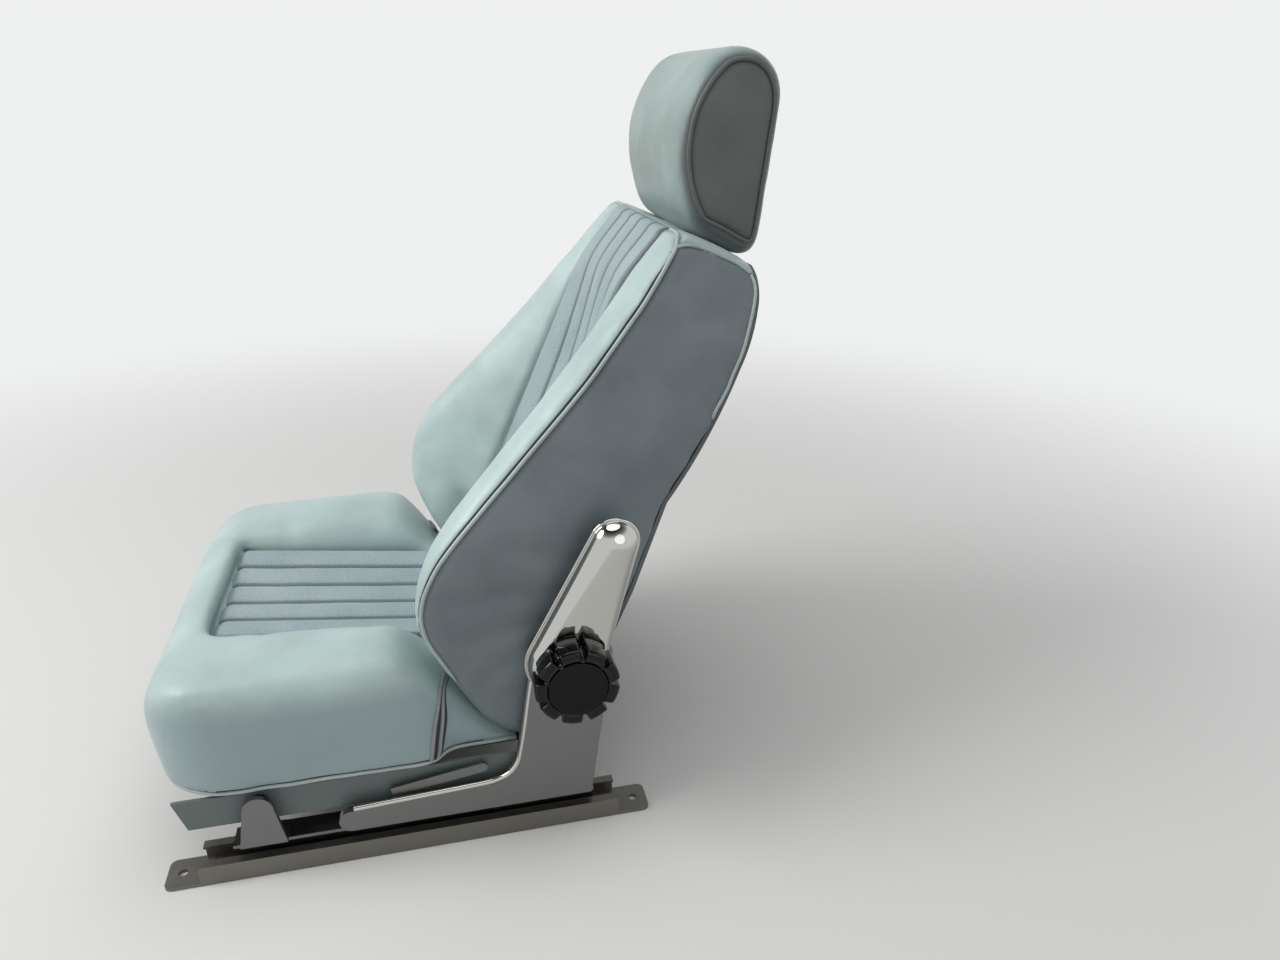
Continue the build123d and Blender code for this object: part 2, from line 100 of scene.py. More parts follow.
def hexColor(code):
    parts = [int(code[i:i + 2], 16) / 255 for i in (1, 3, 5)]
    return [c / 12.92 if c <= 0.04045 else ((c + 0.055) / 1.055) ** 2.4 for c in parts] + [1.0]


def join(tree, node, values):
    # Each value is a constant, a socket, or a node that gives its first output
    for name, value in values.items():
        if isinstance(value, bpy.types.Node):
            value = value.outputs[0]
        if isinstance(value, bpy.types.NodeSocket):
            tree.links.new(value, node.inputs[name])
        else:
            node.inputs[name].default_value = value


def addNode(tree, kind, values=None, **settings):
    node = tree.nodes.new("ShaderNode" + kind)
    for name, value in settings.items():
        setattr(node, name, value)
    join(tree, node, values or {})
    return node


finishes = {}


def newMaterial(name):
    material = finishes[name] = bpy.data.materials.new(name)
    material.use_nodes = True
    return material.node_tree, material.node_tree.nodes["Principled BSDF"]


leatherLook = {
    # painted shade for the seams and for the punched holes
    "seamShade": "#41484a",
    "punchShade": "#6d7678",
    "punchMm": 3.2,         # real holes are 1.5 mm apart: drawn at 3.2 mm so that they show
    "grainMm": 2.2,         # real pebbles are under 1 mm: drawn at 2.2 mm, the finest that shows
    "grainDepthMm": 0.12,
    # width and depth in millimetres, detail, distortion and strength: slow folds, then the wrinkles on them
    "waves": [(70.0, 2.6, 2.0, 0.6, 0.7), (9.0, 0.45, 3.0, 0.8, 0.6)],
}


def coatedLeather(name, base, deep, roughness=0.4, crease=1.0, shadeBeside=None, punched=False):
    # Corrected-grain hide with a sprayed pigment coat: a soft even sheen, darker in its creases by their bumps, with
    # shade painted along its seams
    tree, shader = newMaterial(name)
    coords = addNode(tree, "TexCoord")
    place = coords.outputs["Object"]
    patches = addNode(tree, "TexNoise", {"Vector": place, "Scale": 11.0, "Detail": 4.0})      # about 90 mm across
    spread = addNode(tree, "MapRange", {"Value": patches, "From Min": 0.34, "From Max": 0.66})
    color = addNode(tree, "Mix", {0: spread, 6: hexColor(base), 7: hexColor(deep)}, data_type="RGBA").outputs[2]
    if shadeBeside:      # painted shade on the flanks, let in softly where the surface turns sideways
        flank = addNode(tree, "Attribute", attribute_name="flank").outputs["Fac"]
        color = addNode(tree, "Mix", {0: flank, 6: color, 7: hexColor(shadeBeside)}, data_type="RGBA").outputs[2]
    # painted shade along the seams, multiplied in
    seam = addNode(tree, "Attribute", attribute_name="seam").outputs["Fac"]
    color = addNode(tree, "Mix", {0: seam, 6: color, 7: hexColor(leatherLook["seamShade"])},
                    data_type="RGBA", blend_type="MULTIPLY").outputs[2]
    # painted shade in the punched holes
    if punched:
        dots = addNode(tree, "TexVoronoi", {"Vector": coords.outputs["UV"], "Randomness": 0.25,
                                            "Scale": 1000 / leatherLook["punchMm"]})
        hole = addNode(tree, "MapRange", {"Value": dots, "From Min": 0.14, "From Max": 0.34,
                                          "To Min": 0.5, "To Max": 0.0})
        color = addNode(tree, "Mix", {0: hole, 6: color, 7: hexColor(leatherLook["punchShade"])},
                        data_type="RGBA", blend_type="MULTIPLY").outputs[2]
    gloss = addNode(tree, "MapRange", {"Value": patches, "From Min": 0.3, "From Max": 0.7,
                                       "To Min": roughness - 0.05, "To Max": roughness + 0.07})
    below = {}      # each relief lies on the one before
    for widthMm, depthMm, detail, distortion, strength in leatherLook["waves"]:
        wave = addNode(tree, "TexNoise", {"Vector": place, "Scale": 1000 / widthMm, "Detail": detail,
                                          "Distortion": distortion})
        below["Normal"] = addNode(tree, "Bump", {"Height": wave, "Strength": strength,
                                                 "Distance": depthMm * mm * crease, **below})
    pebbles = addNode(tree, "TexVoronoi", {"Vector": place, "Scale": 1000 / leatherLook["grainMm"]},
                      feature="DISTANCE_TO_EDGE")
    pores = addNode(tree, "MapRange", {"Value": pebbles, "From Min": 0.0, "From Max": 0.22})
    grain = addNode(tree, "Bump", {"Height": pores, "Strength": 0.6,
                                   "Distance": leatherLook["grainDepthMm"] * mm, **below})
    join(tree, shader, {"Base Color": color, "Roughness": gloss, "Normal": grain, "IOR": 1.5,
                        "Sheen Weight": 0.1, "Sheen Roughness": 0.4})


def platedSteel(name, base, roughness, smear=0.06, brushMm=0.0):
    # Steel, plated or bare: bright, with faint smears, and with the lines of a brush where brushMm is given,
    # which are finer than 0.2 mm on the real metal and drawn at brushMm so that they show
    tree, shader = newMaterial(name)
    place = addNode(tree, "TexCoord").outputs["Object"]
    cloud = addNode(tree, "TexNoise", {"Vector": place, "Scale": 38.0, "Detail": 6.0})       # about 26 mm across
    gloss = addNode(tree, "MapRange", {"Value": cloud, "From Min": 0.35, "From Max": 0.7,
                                       "To Min": max(roughness - smear, 0.02), "To Max": roughness + smear})
    join(tree, shader, {"Base Color": hexColor(base), "Metallic": 1.0, "Roughness": gloss})
    if brushMm:
        stretch = addNode(tree, "Mapping", {"Vector": place, "Scale": (1.0, 0.04, 1.0)})
        lines = addNode(tree, "TexNoise", {"Vector": stretch, "Scale": 1000 / brushMm, "Detail": 2.0})
        bump = addNode(tree, "Bump", {"Height": lines, "Strength": 0.25, "Distance": 0.05 * mm})
        join(tree, shader, {"Normal": bump})


def evenSurface(name, base, roughness, textureMm=1.6, depthMm=0.06, ior=1.5):
    # Moulded plastic, sprayed enamel and coarse cloth: one plain colour with an even texture, which is drawn
    # at textureMm, two or three times as coarse as it is, so that it shows
    tree, shader = newMaterial(name)
    place = addNode(tree, "TexCoord").outputs["Object"]
    cloud = addNode(tree, "TexNoise", {"Vector": place, "Scale": 22.0, "Detail": 4.0})       # about 45 mm across
    gloss = addNode(tree, "MapRange", {"Value": cloud, "From Min": 0.35, "From Max": 0.7,
                                       "To Min": roughness * 0.8, "To Max": roughness * 1.25})
    join(tree, shader, {"Base Color": hexColor(base), "Roughness": gloss, "IOR": ior})
    if depthMm:
        spark = addNode(tree, "TexNoise", {"Vector": place, "Scale": 1000 / textureMm, "Detail": 2.0})
        bump = addNode(tree, "Bump", {"Height": spark, "Strength": 0.5, "Distance": depthMm * mm})
        join(tree, shader, {"Normal": bump})


# Pale blue-green hide where it is sat on: light and even, with soft broad highlights
coatedLeather("frontLeather", "#b5c9c6", "#a5b8b6")
coatedLeather("seatLeather", "#b2c6c3", "#a4b7b5", shadeBeside="#96a9ac")        # shade painted down the cushion's sides
coatedLeather("shadedHeadLeather", "#91a4a1", "#83938f", shadeBeside="#5f6766")        # the same hide with shade painted in: greyer, and darker flanks of painted shade
# The same hide with shade painted into its colour, where it faces away from the light: slate grey and flatter
coatedLeather("shadedSideLeather", "#758084", "#687277", roughness=0.46)
coatedLeather("shadedFoldLeather", "#949899", "#828687", roughness=0.46, crease=0.4)      # folded ribs: light grey, with shade painted in
coatedLeather("shadedHeadSideLeather", "#5a605f", "#4e5453", roughness=0.44, crease=0.6)     # drum's ends: dark grey of painted shade
coatedLeather("paintedShadeFold", "#2c3232", "#232828", roughness=0.7, crease=0.2)      # painted shade for the hide deep in a fold: nearly black
# Hide drawn tight over a cord: smoother, with a narrow bright line along it
coatedLeather("pipingLeather", "#b2bfbd", "#9faeac", roughness=0.36, crease=0.2)
# Perforated hide, sewn in pleats: matt, dotted with painted shade in its holes, and with painted shade in its grooves
coatedLeather("pleatLeather", "#a1b1b4", "#93a4a8", roughness=0.5, crease=0.5, punched=True)
coatedLeather("backVinyl", "#5f6566", "#555b5c", roughness=0.55, crease=0.3)    # embossed vinyl: grey, dull, flat
evenSurface("hessian", "#3b3a38", 0.9, textureMm=3.0, depthMm=0.5)      # woven jute: rough, with no sheen at all
platedSteel("polishedChrome", "#c6c5c1", 0.05, smear=0.03)      # buffed chrome plate: a mirror, faintly smeared
platedSteel("satinZinc", "#7d7e7d", 0.36, smear=0.04, brushMm=1.6)      # zinc on brushed steel: streaked soft grey
platedSteel("dullZinc", "#807d77", 0.42, brushMm=2.5)       # passivated zinc: warmer grey, hardly shining
platedSteel("rolledEdge", "#d2cfc9", 0.16, smear=0.05)      # the press burnished it: one bright line
platedSteel("springWire", "#6a6762", 0.35)                  # drawn wire, bare: dark, with a thin glint
evenSurface("blackEnamel", "#1c1d1e", 0.35, textureMm=4.0, depthMm=0.05)    # sprayed: black with faint orange peel
evenSurface("valancePlastic", "#667170", 0.5)               # moulded ABS, coloured through: flat grey-green
evenSurface("blackPlastic", "#060707", 0.42, ior=1.28)      # nylon from a spark-worn mould: matt black
evenSurface("glossyPlastic", "#060607", 0.1, depthMm=0.0, ior=1.36)     # ABS from a polished mould: wet-looking black

nodeFinish = {
    "lower_rail": "dullZinc", "upper_rail": "satinZinc", "hinge_bracket": "satinZinc", "front_riser": "satinZinc",
    "front_tube": "blackEnamel", "rear_tube": "blackEnamel", "side_tube": "blackEnamel",
    "side_valance": "valancePlastic", "slide_lever": "satinZinc", "hinge_pin": "dullZinc",
    "back_panel": "backVinyl", "hinge_arm": "blackEnamel", "headrest_sleeve": "blackPlastic",
    "headrest_post": "polishedChrome",
}
for nodeName, obj in frame["nodes"].items():
    for stem, finish in nodeFinish.items():
        if nodeName.startswith(stem):
            obj.data.materials.clear()
            obj.data.materials.append(finishes[finish])
print("materials done")


# Shapes: paths, cords, and the copies of the padded solids

def treeOf(places):
    tree = KDTree(len(places))
    for i, place in enumerate(places):
        tree.insert(place, i)
    tree.balance()
    return tree


def smoothStep(share):
    return share * share * (3 - 2 * share)


def smoothPath(points, stepMm=4.0, closed=False):
    # A Catmull-Rom line through the points, sampled every few millimetres
    points = [Vector(p) for p in points]
    if closed:
        line = points[-1:] + points + points[:2]
    else:
        line = [points[0] * 2 - points[1]] + points + [points[-1] * 2 - points[-2]]
    path = []
    for a, b, c, d in zip(line, line[1:], line[2:], line[3:]):
        steps = max(2, int((c - b).length / (stepMm * mm)))
        for k in range(steps):
            t = k / steps
            path.append(0.5 * ((2 * b) + (c - a) * t + (2 * a - 5 * b + 4 * c - d) * t ** 2
                               + (3 * b - a - 3 * c + d) * t ** 3))
    return path if closed else path + [points[-1]]


def flatPath(pairs, closed=False):
    return [(p.x / mm, p.y / mm) for p in smoothPath([(a * mm, b * mm, 0) for a, b in pairs], closed=closed)]


def inwardOf(line, middle, closed=False):
    # Unit normals of a flat line, on the side where the middle of the piece is
    first, last = (line[-1:], line[:1]) if closed else (line[:1], line[-1:])
    normals = []
    for before, place, after in zip(first + line, line, line[1:] + last):
        normal = Vector((after[1] - before[1], before[0] - after[0])).normalized()
        normals.append(normal if normal.dot(Vector(middle) - Vector(place)) > 0 else -normal)
    return normals


def movedIn(line, normals, insets):
    return [(place[0] + normal.x * inset, place[1] + normal.y * inset)
            for place, normal, inset in zip(line, normals, insets)]


def newObject(name, data):
    obj = bpy.data.objects.new(name, data)
    bpy.context.scene.collection.objects.link(obj)
    return obj


def meshObject(name, verts, faces, finish, smooth=True):
    mesh = bpy.data.meshes.new(name)
    mesh.from_pydata([tuple(v) for v in verts], [], faces)
    mesh.validate()
    mesh.materials.append(finishes[finish])
    if smooth:
        mesh.shade_smooth()
    return newObject(name, mesh)


def cordPiece(name, path, radiusMm, finish, body, closed=False, resolution=3, tipMm=0.0):
    curve = bpy.data.curves.new(name, "CURVE")
    curve.dimensions = "3D"
    curve.bevel_depth = radiusMm * mm
    curve.bevel_resolution = resolution
    curve.use_fill_caps = not closed
    spline = curve.splines.new("POLY")
    spline.points.add(len(path) - 1)
    for point, place in zip(spline.points, path):
        point.co = (*place, 1)
        fromEnd = min((place - path[0]).length, (place - path[-1]).length) / mm
        point.radius = min(1.0, 0.15 + 0.85 * fromEnd / tipMm) if tipMm else 1.0
    spline.use_cyclic_u = closed
    curve.materials.append(finishes[finish])
    return carried(newObject(name, curve), body)


def ringFaces(rings, around):
    # The faces between each two rings of points
    return [(r * around + n, r * around + (n + 1) % around, (r + 1) * around + (n + 1) % around,
             (r + 1) * around + n) for r in range(rings - 1) for n in range(around)]


def faceOutwards(obj, weldMm=0.0):
    editing = bmesh.new()
    editing.from_mesh(obj.data)
    if weldMm:
        bmesh.ops.remove_doubles(editing, verts=editing.verts, dist=weldMm * mm)
    bmesh.ops.recalc_face_normals(editing, faces=editing.faces)
    editing.to_mesh(obj.data)
    editing.free()


def evaluatedMesh(obj):
    graph = bpy.context.evaluated_depsgraph_get()
    graph.update()
    return bpy.data.meshes.new_from_object(obj.evaluated_get(graph))


def baked(obj):
    # What the modifiers give becomes the piece's own mesh
    obj.data = evaluatedMesh(obj)
    obj.modifiers.clear()
    obj.data.shade_smooth()


def solidCopy(name, nodeName, voxelMm):
    source = frame["nodes"][nodeName]
    mesh = source.data.copy()
    mesh.transform(source.matrix_world)
    obj = newObject(name, mesh)
    remesh = obj.modifiers.new("voxels", "REMESH")
    remesh.mode = "VOXEL"
    remesh.voxel_size = voxelMm * mm
    baked(obj)
    return obj


def vectorsOf(items, name):
    values = np.empty(len(items) * 3)
    items.foreach_get(name, values)
    return values.reshape(-1, 3)


def getPoints(obj):
    return vectorsOf(obj.data.vertices, "co")


def setPoints(obj, points):
    obj.data.vertices.foreach_set("co", points.ravel())
    obj.data.update()


def getNormals(obj):
    return vectorsOf(obj.data.vertex_normals, "vector")


def writeShade(obj, name, values):
    # A value for each point, which the finish reads
    obj.data.attributes.new(name, "FLOAT", "POINT").data.foreach_set("value", values)


def distanceTo(points, paths):
    # Distance in millimetres from each point to the nearest of the paths
    tree = treeOf([place for path in paths for place in path])
    return np.array([tree.find(p)[2] for p in points]) / mm


def relax(obj, rounds, weights=None):
    # Moves each point towards the middle of its neighbours; weights of 0 hold a point where it is
    points = getPoints(obj)
    edges = np.empty(len(obj.data.edges) * 2, dtype=int)
    obj.data.edges.foreach_get("vertices", edges)
    first, second = edges.reshape(-1, 2).T
    degree = np.maximum(np.bincount(edges, minlength=len(points)), 1)[:, None]
    share = 0.5 if weights is None else 0.5 * weights[:, None]
    for _ in range(rounds):
        total = np.stack([np.bincount(first, points[second, axis], len(points))
                          + np.bincount(second, points[first, axis], len(points)) for axis in range(3)], axis=1)
        points += share * (total / degree - points)
    setPoints(obj, points)


airLook = {"quality": 5, "mass": 0.3, "tension_stiffness": 25, "compression_stiffness": 25, "shear_stiffness": 10,
           "bending_stiffness": 2}
airFrames, heldMm = 20, 14


def inflated(obj, nodeName, look, seams):
    # Cloth under air pressure, held at its seams, on a coarse copy whose swelling is then passed on
    coarse = solidCopy(obj.name + "_coarse", nodeName, look["coarseMm"])
    relax(coarse, 4)
    start = getPoints(coarse)
    pins = coarse.vertex_groups.new(name="pins")
    for i, gap in enumerate(distanceTo(start, seams)):
        pins.add([i], float(max(0.0, min(1.0, 1.6 - gap / heldMm))), "REPLACE")
    cloth = coarse.modifiers.new("cloth", "CLOTH")
    cloth.settings.vertex_group_mass = "pins"
    cloth.settings.use_pressure = True
    cloth.settings.uniform_pressure_force = look["pressure"]
    for name, value in airLook.items():
        setattr(cloth.settings, name, value)
    cloth.settings.effector_weights.gravity = 0
    cloth.point_cache.frame_start = 1
    cloth.point_cache.frame_end = airFrames
    for number in range(1, airFrames + 1):
        bpy.context.scene.frame_set(number)
    shift = vectorsOf(evaluatedMesh(coarse).vertices, "co") - start
    size = np.linalg.norm(shift, axis=1)[:, None]
    shift *= np.minimum(1.0, look["capMm"] * mm / np.maximum(size, 1e-9))
    tree = treeOf(start)
    points = getPoints(obj)
    for i, point in enumerate(points):
        near = tree.find_n(point, 6)
        weights = [1 / (gap + 0.003) ** 2 for place, index, gap in near]
        points[i] += sum(w * shift[n[1]] for w, n in zip(weights, near)) / sum(weights)
    setPoints(obj, points)
    bpy.data.objects.remove(coarse)
    bpy.context.scene.frame_set(1)
    print(obj.name, "inflated, most", round(float(size.max() / mm), 1), "mm before the cap")


puckerLook = {"perM": 34, "share": 1.2, "fadeMm": 22, "slowPerM": 9, "shadeShare": 0.6}


def seamed(obj, seams, widthMm, depthMm, waveMm):
    # Draws the surface in along its seams, with the little uneven puckers of stuffed leather
    points = getPoints(obj)
    gap = distanceTo(points, seams)
    groove = depthMm * np.exp(-(gap / widthMm) ** 2)
    pucker = np.array([noise.noise(Vector(p) * puckerLook["perM"]) for p in points])
    slow = np.array([noise.noise(Vector(p) * puckerLook["slowPerM"]) for p in points])
    wave = waveMm * (puckerLook["share"] * pucker * np.exp(-gap / puckerLook["fadeMm"]) + slow)
    points -= getNormals(obj) * ((groove + wave) * mm)[:, None]
    setPoints(obj, points)
    # how much painted shade each point gets along the seams
    writeShade(obj, "seam", np.exp(-(gap / (widthMm * puckerLook["shadeShare"])) ** 2))


def stuffed(obj, nodeName, look, seams, edges=()):
    # Evens the copy out between its seams and edges, fills it with air and draws its seams in
    held = [*seams, *edges]
    reachMm, least = look["hold"]
    relax(obj, look["rounds"], np.clip(distanceTo(getPoints(obj), held) / reachMm, least, 1.0))
    inflated(obj, nodeName, look, held)
    relax(obj, 3)
    finer = obj.modifiers.new("finer", "SUBSURF")
    finer.levels = finer.render_levels = 1
    baked(obj)
    seamed(obj, seams, *look["seam"])


def flanked(obj, turnFrom, turnTo, below=None):
    # Where the surface turns sideways, from 0 to 1, for the shade painted there
    share = np.clip((np.abs(getNormals(obj)[:, 0]) - turnFrom) / (turnTo - turnFrom), 0, 1)
    if below:
        share *= np.clip((below[0] - fromHinge(getPoints(obj))[:, 2]) / (below[0] - below[1]), 0, 1)
    writeShade(obj, "flank", smoothStep(share))


def creased(obj, folds):
    # Soft hollows along the paths, each with its width and depth, fading out at both ends
    points = getPoints(obj)
    normals = getNormals(obj)
    for path, widthMm, depthMm in folds:
        middle, reach = path[len(path) // 2], (path[-1] - path[0]).length / 2
        fade = np.clip(1.15 - np.linalg.norm(points - np.array(middle), axis=1) / reach, 0, 1)
        hollow = depthMm * mm * np.exp(-(distanceTo(points, [path]) / widthMm) ** 2)
        points -= normals * (hollow * fade)[:, None]
    setPoints(obj, points)


def snapped(path, obj, liftMm, evened=3):
    # The path laid on the piece's surface, raised along its normals and evened out
    tree = BVHTree.FromObject(obj, bpy.context.evaluated_depsgraph_get())
    laid = [place + normal * liftMm * mm for place, normal, index, gap in (tree.find_nearest(p) for p in path)]
    for _ in range(evened):
        laid = [laid[0]] + [(a + 2 * b + c) / 4 for a, b, c in zip(laid, laid[1:], laid[2:])] + [laid[-1]]
    return laid


def zoned(obj, names, belongs):
    # Gives each face the first or the second finish, by its middle and the way it faces
    obj.data.materials.clear()
    for name in names:
        obj.data.materials.append(finishes[name])
    chosen = belongs(vectorsOf(obj.data.polygons, "center"), vectorsOf(obj.data.polygons, "normal"))
    obj.data.polygons.foreach_set("material_index", chosen.astype(np.int32))
    obj.data.update()


# Backrest: the padded body with its wings

backLook = {
    "voxelMm": 7.4, "coarseMm": 13.0, "pressure": 1.2, "capMm": 5.0, "rounds": 16,
    "hold": (14, 0.15),         # how near a seam the surface is held, and how little of it moves there
    "seam": (7.0, 2.2, 1.0),    # width and depth of the seams, and of the waves between them
    "edgeAcrossMm": 34.0,       # how far in from the side the front edge starts to round
    # depth and height of the front edge seen from the side, from the lower end of the wing to the top
    "frontEdge": [(-94, -94), (-133, -65), (-166, -38), (-186, -2), (-190, 34), (-187, 72), (-178, 110),
                  (-145, 205), (-112, 300), (-84, 390), (-56, 478)],
    "middle": (-20, 150),
    "wingFoot": (-82, -78),     # height where the front welt starts, and where the lower seam ends
    # height, and how far behind that edge the welt lies there
    "weltInset": [(-94, 1), (-60, 5), (27, 9), (116, 15), (308, 20), (400, 17), (484, 6)],
    "rearWelt": [(61, 312), (64, 335), (66, 370), (64, 405), (57, 440), (50, 462), (42, 472)],
    "rearWeltEnd": (196, 62, 306),
    "topWelt": [(-52, 468), (-30, 473), (0, 474), (25, 474), (42, 472)],
    "topRun": (-50, 483, (160, 110, 55, 0, -55, -110, -160)),     # depth, height and places across of its top
    "lowerSeam": [(-94, -94), (-52, -121), (-5, -131)],
    "insertSeam": [(-84, -110), (-82, 110), (-78, 300), (-70, 430), (-52, 478)],
    "sideTie": [(-140, 44), (200, 44), (245, 54)],      # where the cover is tied down across each side
    # height, and half the width there
    "halfWidths": [(-140, 250), (90, 250), (300, 215), (440, 194), (470, 184), (484, 150)],
    # height, and depth of the back panel's inner face there
    "rearLine": [(-140, 44), (200, 44), (245, 54), (290, 62), (330, 67), (370, 68.5), (410, 66.5), (432, 63.5),
                 (460, 56), (484, 44)],
    # the layer that the back panel draws flat: its depth and gap, and where, from the side and up, it is free
    "flatMm": 18, "flatGapMm": 0.6, "flatEdgeMm": 16, "flatTop": 464,
    "sideFrom": 150, "sideMm": 14,      # where the painted shade of the sides starts, and how near the side it stays
    "cordMm": 2.3, "thinCordMm": 2.0,
    "foldShadow": (3.7, 1.5, -24, 462),       # the dark cord of painted shadow: how far in front of the welt, its radius and its ends
    # dents: depth and height along each, then its width and depth
    "creases": [
        ([(-34, 62), (-92, 48), (-150, 12)], 13, 3.2), ([(-30, 92), (-80, 104), (-130, 100)], 15, 2.6),
        ([(-32, 30), (-78, 4), (-128, -30)], 12, 2.6), ([(-44, -20), (-70, -52), (-78, -90)], 12, 2.4),
        ([(20, 190), (-30, 220), (-92, 214)], 20, 2.8), ([(46, 300), (0, 322), (-60, 330)], 22, 2.6),
        ([(52, 420), (10, 410), (-30, 380)], 20, 2.2),
    ],
}
insertSeamX = 121       # the seams beside both pleated panels


def halfWidth(height):
    return float(np.interp(height, *zip(*backLook["halfWidths"])))


def weltInset(height):
    return float(np.interp(height, *zip(*backLook["weltInset"])))


def backLine(pairs, side):
    return [backPoint(side * halfWidth(height), depth, height) for depth, height in pairs]


frontEdge = flatPath(backLook["frontEdge"])
frontNormals = inwardOf(frontEdge, backLook["middle"])
frontTree = treeOf([(*place, 0) for place in frontEdge])
weltPairs = movedIn(frontEdge, frontNormals, [weltInset(height) for depth, height in frontEdge])
weltTree = treeOf([(*place, 0) for place in weltPairs])
wingStart, lowerEnd = backLook["wingFoot"]
sideRun = [pair for pair in weltPairs if pair[1] > wingStart][::3]
topDepth, topHeight, topPlaces = backLook["topRun"]
topRun = [backPoint(x, topDepth, topHeight) for x in topPlaces]
frontWelt = smoothPath(backLine(sideRun, 1) + topRun + backLine(sideRun, -1)[::-1])
lowerRun = [pair for pair in weltPairs if pair[1] <= lowerEnd][::3][::-1] + backLook["lowerSeam"]
rearEndX, *rearEnd = backLook["rearWeltEnd"]
rearWelts, topWelts, sideTies, lowerSeams, insertSeams = [], [], [], [], []
for name, side in sides:
    rearWelts.append(smoothPath([backPoint(side * rearEndX, *rearEnd)] + backLine(backLook["rearWelt"], side)))
    topWelts.append(smoothPath(backLine(backLook["topWelt"], side)))
    sideTies.append(smoothPath(backLine(backLook["sideTie"], side)))
    lowerSeams.append(smoothPath(backLine(lowerRun, side)))
    insertSeams.append(smoothPath([backPoint(side * insertSeamX, *pair) for pair in backLook["insertSeam"]]))


def roundedFront(points):
    # Rounds the front edge of each wing over to the welt on its side
    reach = backLook["edgeAcrossMm"]
    for i, (x, depth, height) in enumerate(zip(*onBack(points))):
        gap = halfWidth(height) - abs(x)
        if gap > reach or depth > 0:
            continue
        index = frontTree.find((depth, height, 0))[1]
        inside = (Vector((depth, height)) - Vector(frontEdge[index])).dot(frontNormals[index])
        needed = weltInset(height) * (1 - math.sqrt(max(0.0, 1 - ((reach - gap) / reach) ** 2)))
        if inside < needed:
            move = frontNormals[index] * (needed - inside)
            points[i] += (np.array(back) * move.x + np.array(up) * move.y) * mm
    return points


def flatBehind(points):
    # The back panel holds the pad flat behind, near its sides and its top
    x, depths, heights = onBack(points)
    layer = backLook["flatMm"]
    behind = np.interp(heights, *zip(*backLook["rearLine"])) - backLook["flatGapMm"] - depths
    fromSide = np.interp(heights, *zip(*backLook["halfWidths"])) - np.abs(x)
    held = (behind < layer) & ((fromSide < backLook["flatEdgeMm"]) | (heights > backLook["flatTop"]))
    drawn = np.where((behind < 0) | held, behind - layer * (np.clip(behind, 0, layer) / layer) ** 2.8, 0)
    return points + np.array(back) * (drawn * mm)[:, None]


def onBackSide(places, facing):
    chosen = np.zeros(len(places))
    for i, (x, depth, height) in enumerate(zip(*onBack(places))):
        if abs(x) < backLook["sideFrom"] or height > np.interp(depth, *zip(*backLook["topWelt"])):
            continue
        index = weltTree.find((depth, height, 0))[1]
        behind = (Vector((depth, height)) - Vector(weltPairs[index])).dot(frontNormals[index])
        chosen[i] = behind > 0 and halfWidth(height) - abs(x) < backLook["sideMm"]
    return chosen


backPad = solidCopy("backrestLeather", "backrest_pad", backLook["voxelMm"])
setPoints(backPad, roundedFront(getPoints(backPad)))
stuffed(backPad, "backrest_pad", backLook, [frontWelt, *rearWelts, *topWelts, *lowerSeams, *insertSeams], sideTies)
creased(backPad, [(smoothPath(backLine(pairs, side)), width, depth)
                  for name, side in sides for pairs, width, depth in backLook["creases"]])
setPoints(backPad, flatBehind(getPoints(backPad)))
# the sides take the hide with painted shade
zoned(backPad, ["frontLeather", "shadedSideLeather"], onBackSide)
carried(backPad, "backrest")
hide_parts("backrest_pad")

cordPiece("backrestFrontWelt", snapped(frontWelt, backPad, 1.2), backLook["cordMm"], "pipingLeather", "backrest",
          tipMm=16.0)
foldGap, foldRadius, foldLow, foldHigh = backLook["foldShadow"]
shadeBeside = [(depth - normal.x * foldGap, height - normal.y * foldGap)
          for (depth, height), normal in zip(weltPairs, frontNormals) if foldLow < height < foldHigh][::3]
for (name, side), rear, top in zip(sides, rearWelts, topWelts):
    thin = backLook["thinCordMm"]
    cordPiece(f"backrestRearWelt_{name}", snapped(rear, backPad, 0.9), thin, "pipingLeather", "backrest", tipMm=6.0)
    cordPiece(f"backrestTopWelt_{name}", snapped(top, backPad, 0.9), thin, "pipingLeather", "backrest")
    # a dark cord of painted shadow in front of each welt
    shadow = snapped(smoothPath(backLine(shadeBeside, side)), backPad, 0.3, evened=12)
    cordPiece(f"backrestWeltFold_{name}", shadow, foldRadius, "paintedShadeFold", "backrest", tipMm=30.0)
print("backrest body done")


# Pleated panels: closed strips of crowned pleats with a deep narrow groove between each two

pleats = {
    "count": 5, "widthMm": 47.6, "riseMm": 8.0, "grooveMm": 5.0, "steps": 16,
    "crown": (2.9, 0.72, 2.2),      # how square the crown is, how steep it rises, and how narrow the groove is
    "waveMm": 0.7, "shadeMm": 3.4,
}
pleatHalf = pleats["count"] * pleats["widthMm"] / 2


def pleatProfile(outer, middle, centre):
    # Across the panel: place, level between the two seams, and crown above it
    seams = [outer, middle, centre, centre, middle, outer]
    steps = pleats["steps"]
    square, steep, narrow = pleats["crown"]
    profile = []
    for k in range(pleats["count"] * steps + 1):
        n = min(k // steps, pleats["count"] - 1)
        t = k / steps - n
        crown = (1 - abs(2 * t - 1) ** square) ** steep
        sunk = 1 - min(1, crown * narrow)
        profile.append((k / steps * pleats["widthMm"] - pleatHalf, seams[n] + (seams[n + 1] - seams[n]) * t,
                        crown * pleats["riseMm"] - sunk * pleats["grooveMm"]))
    return profile


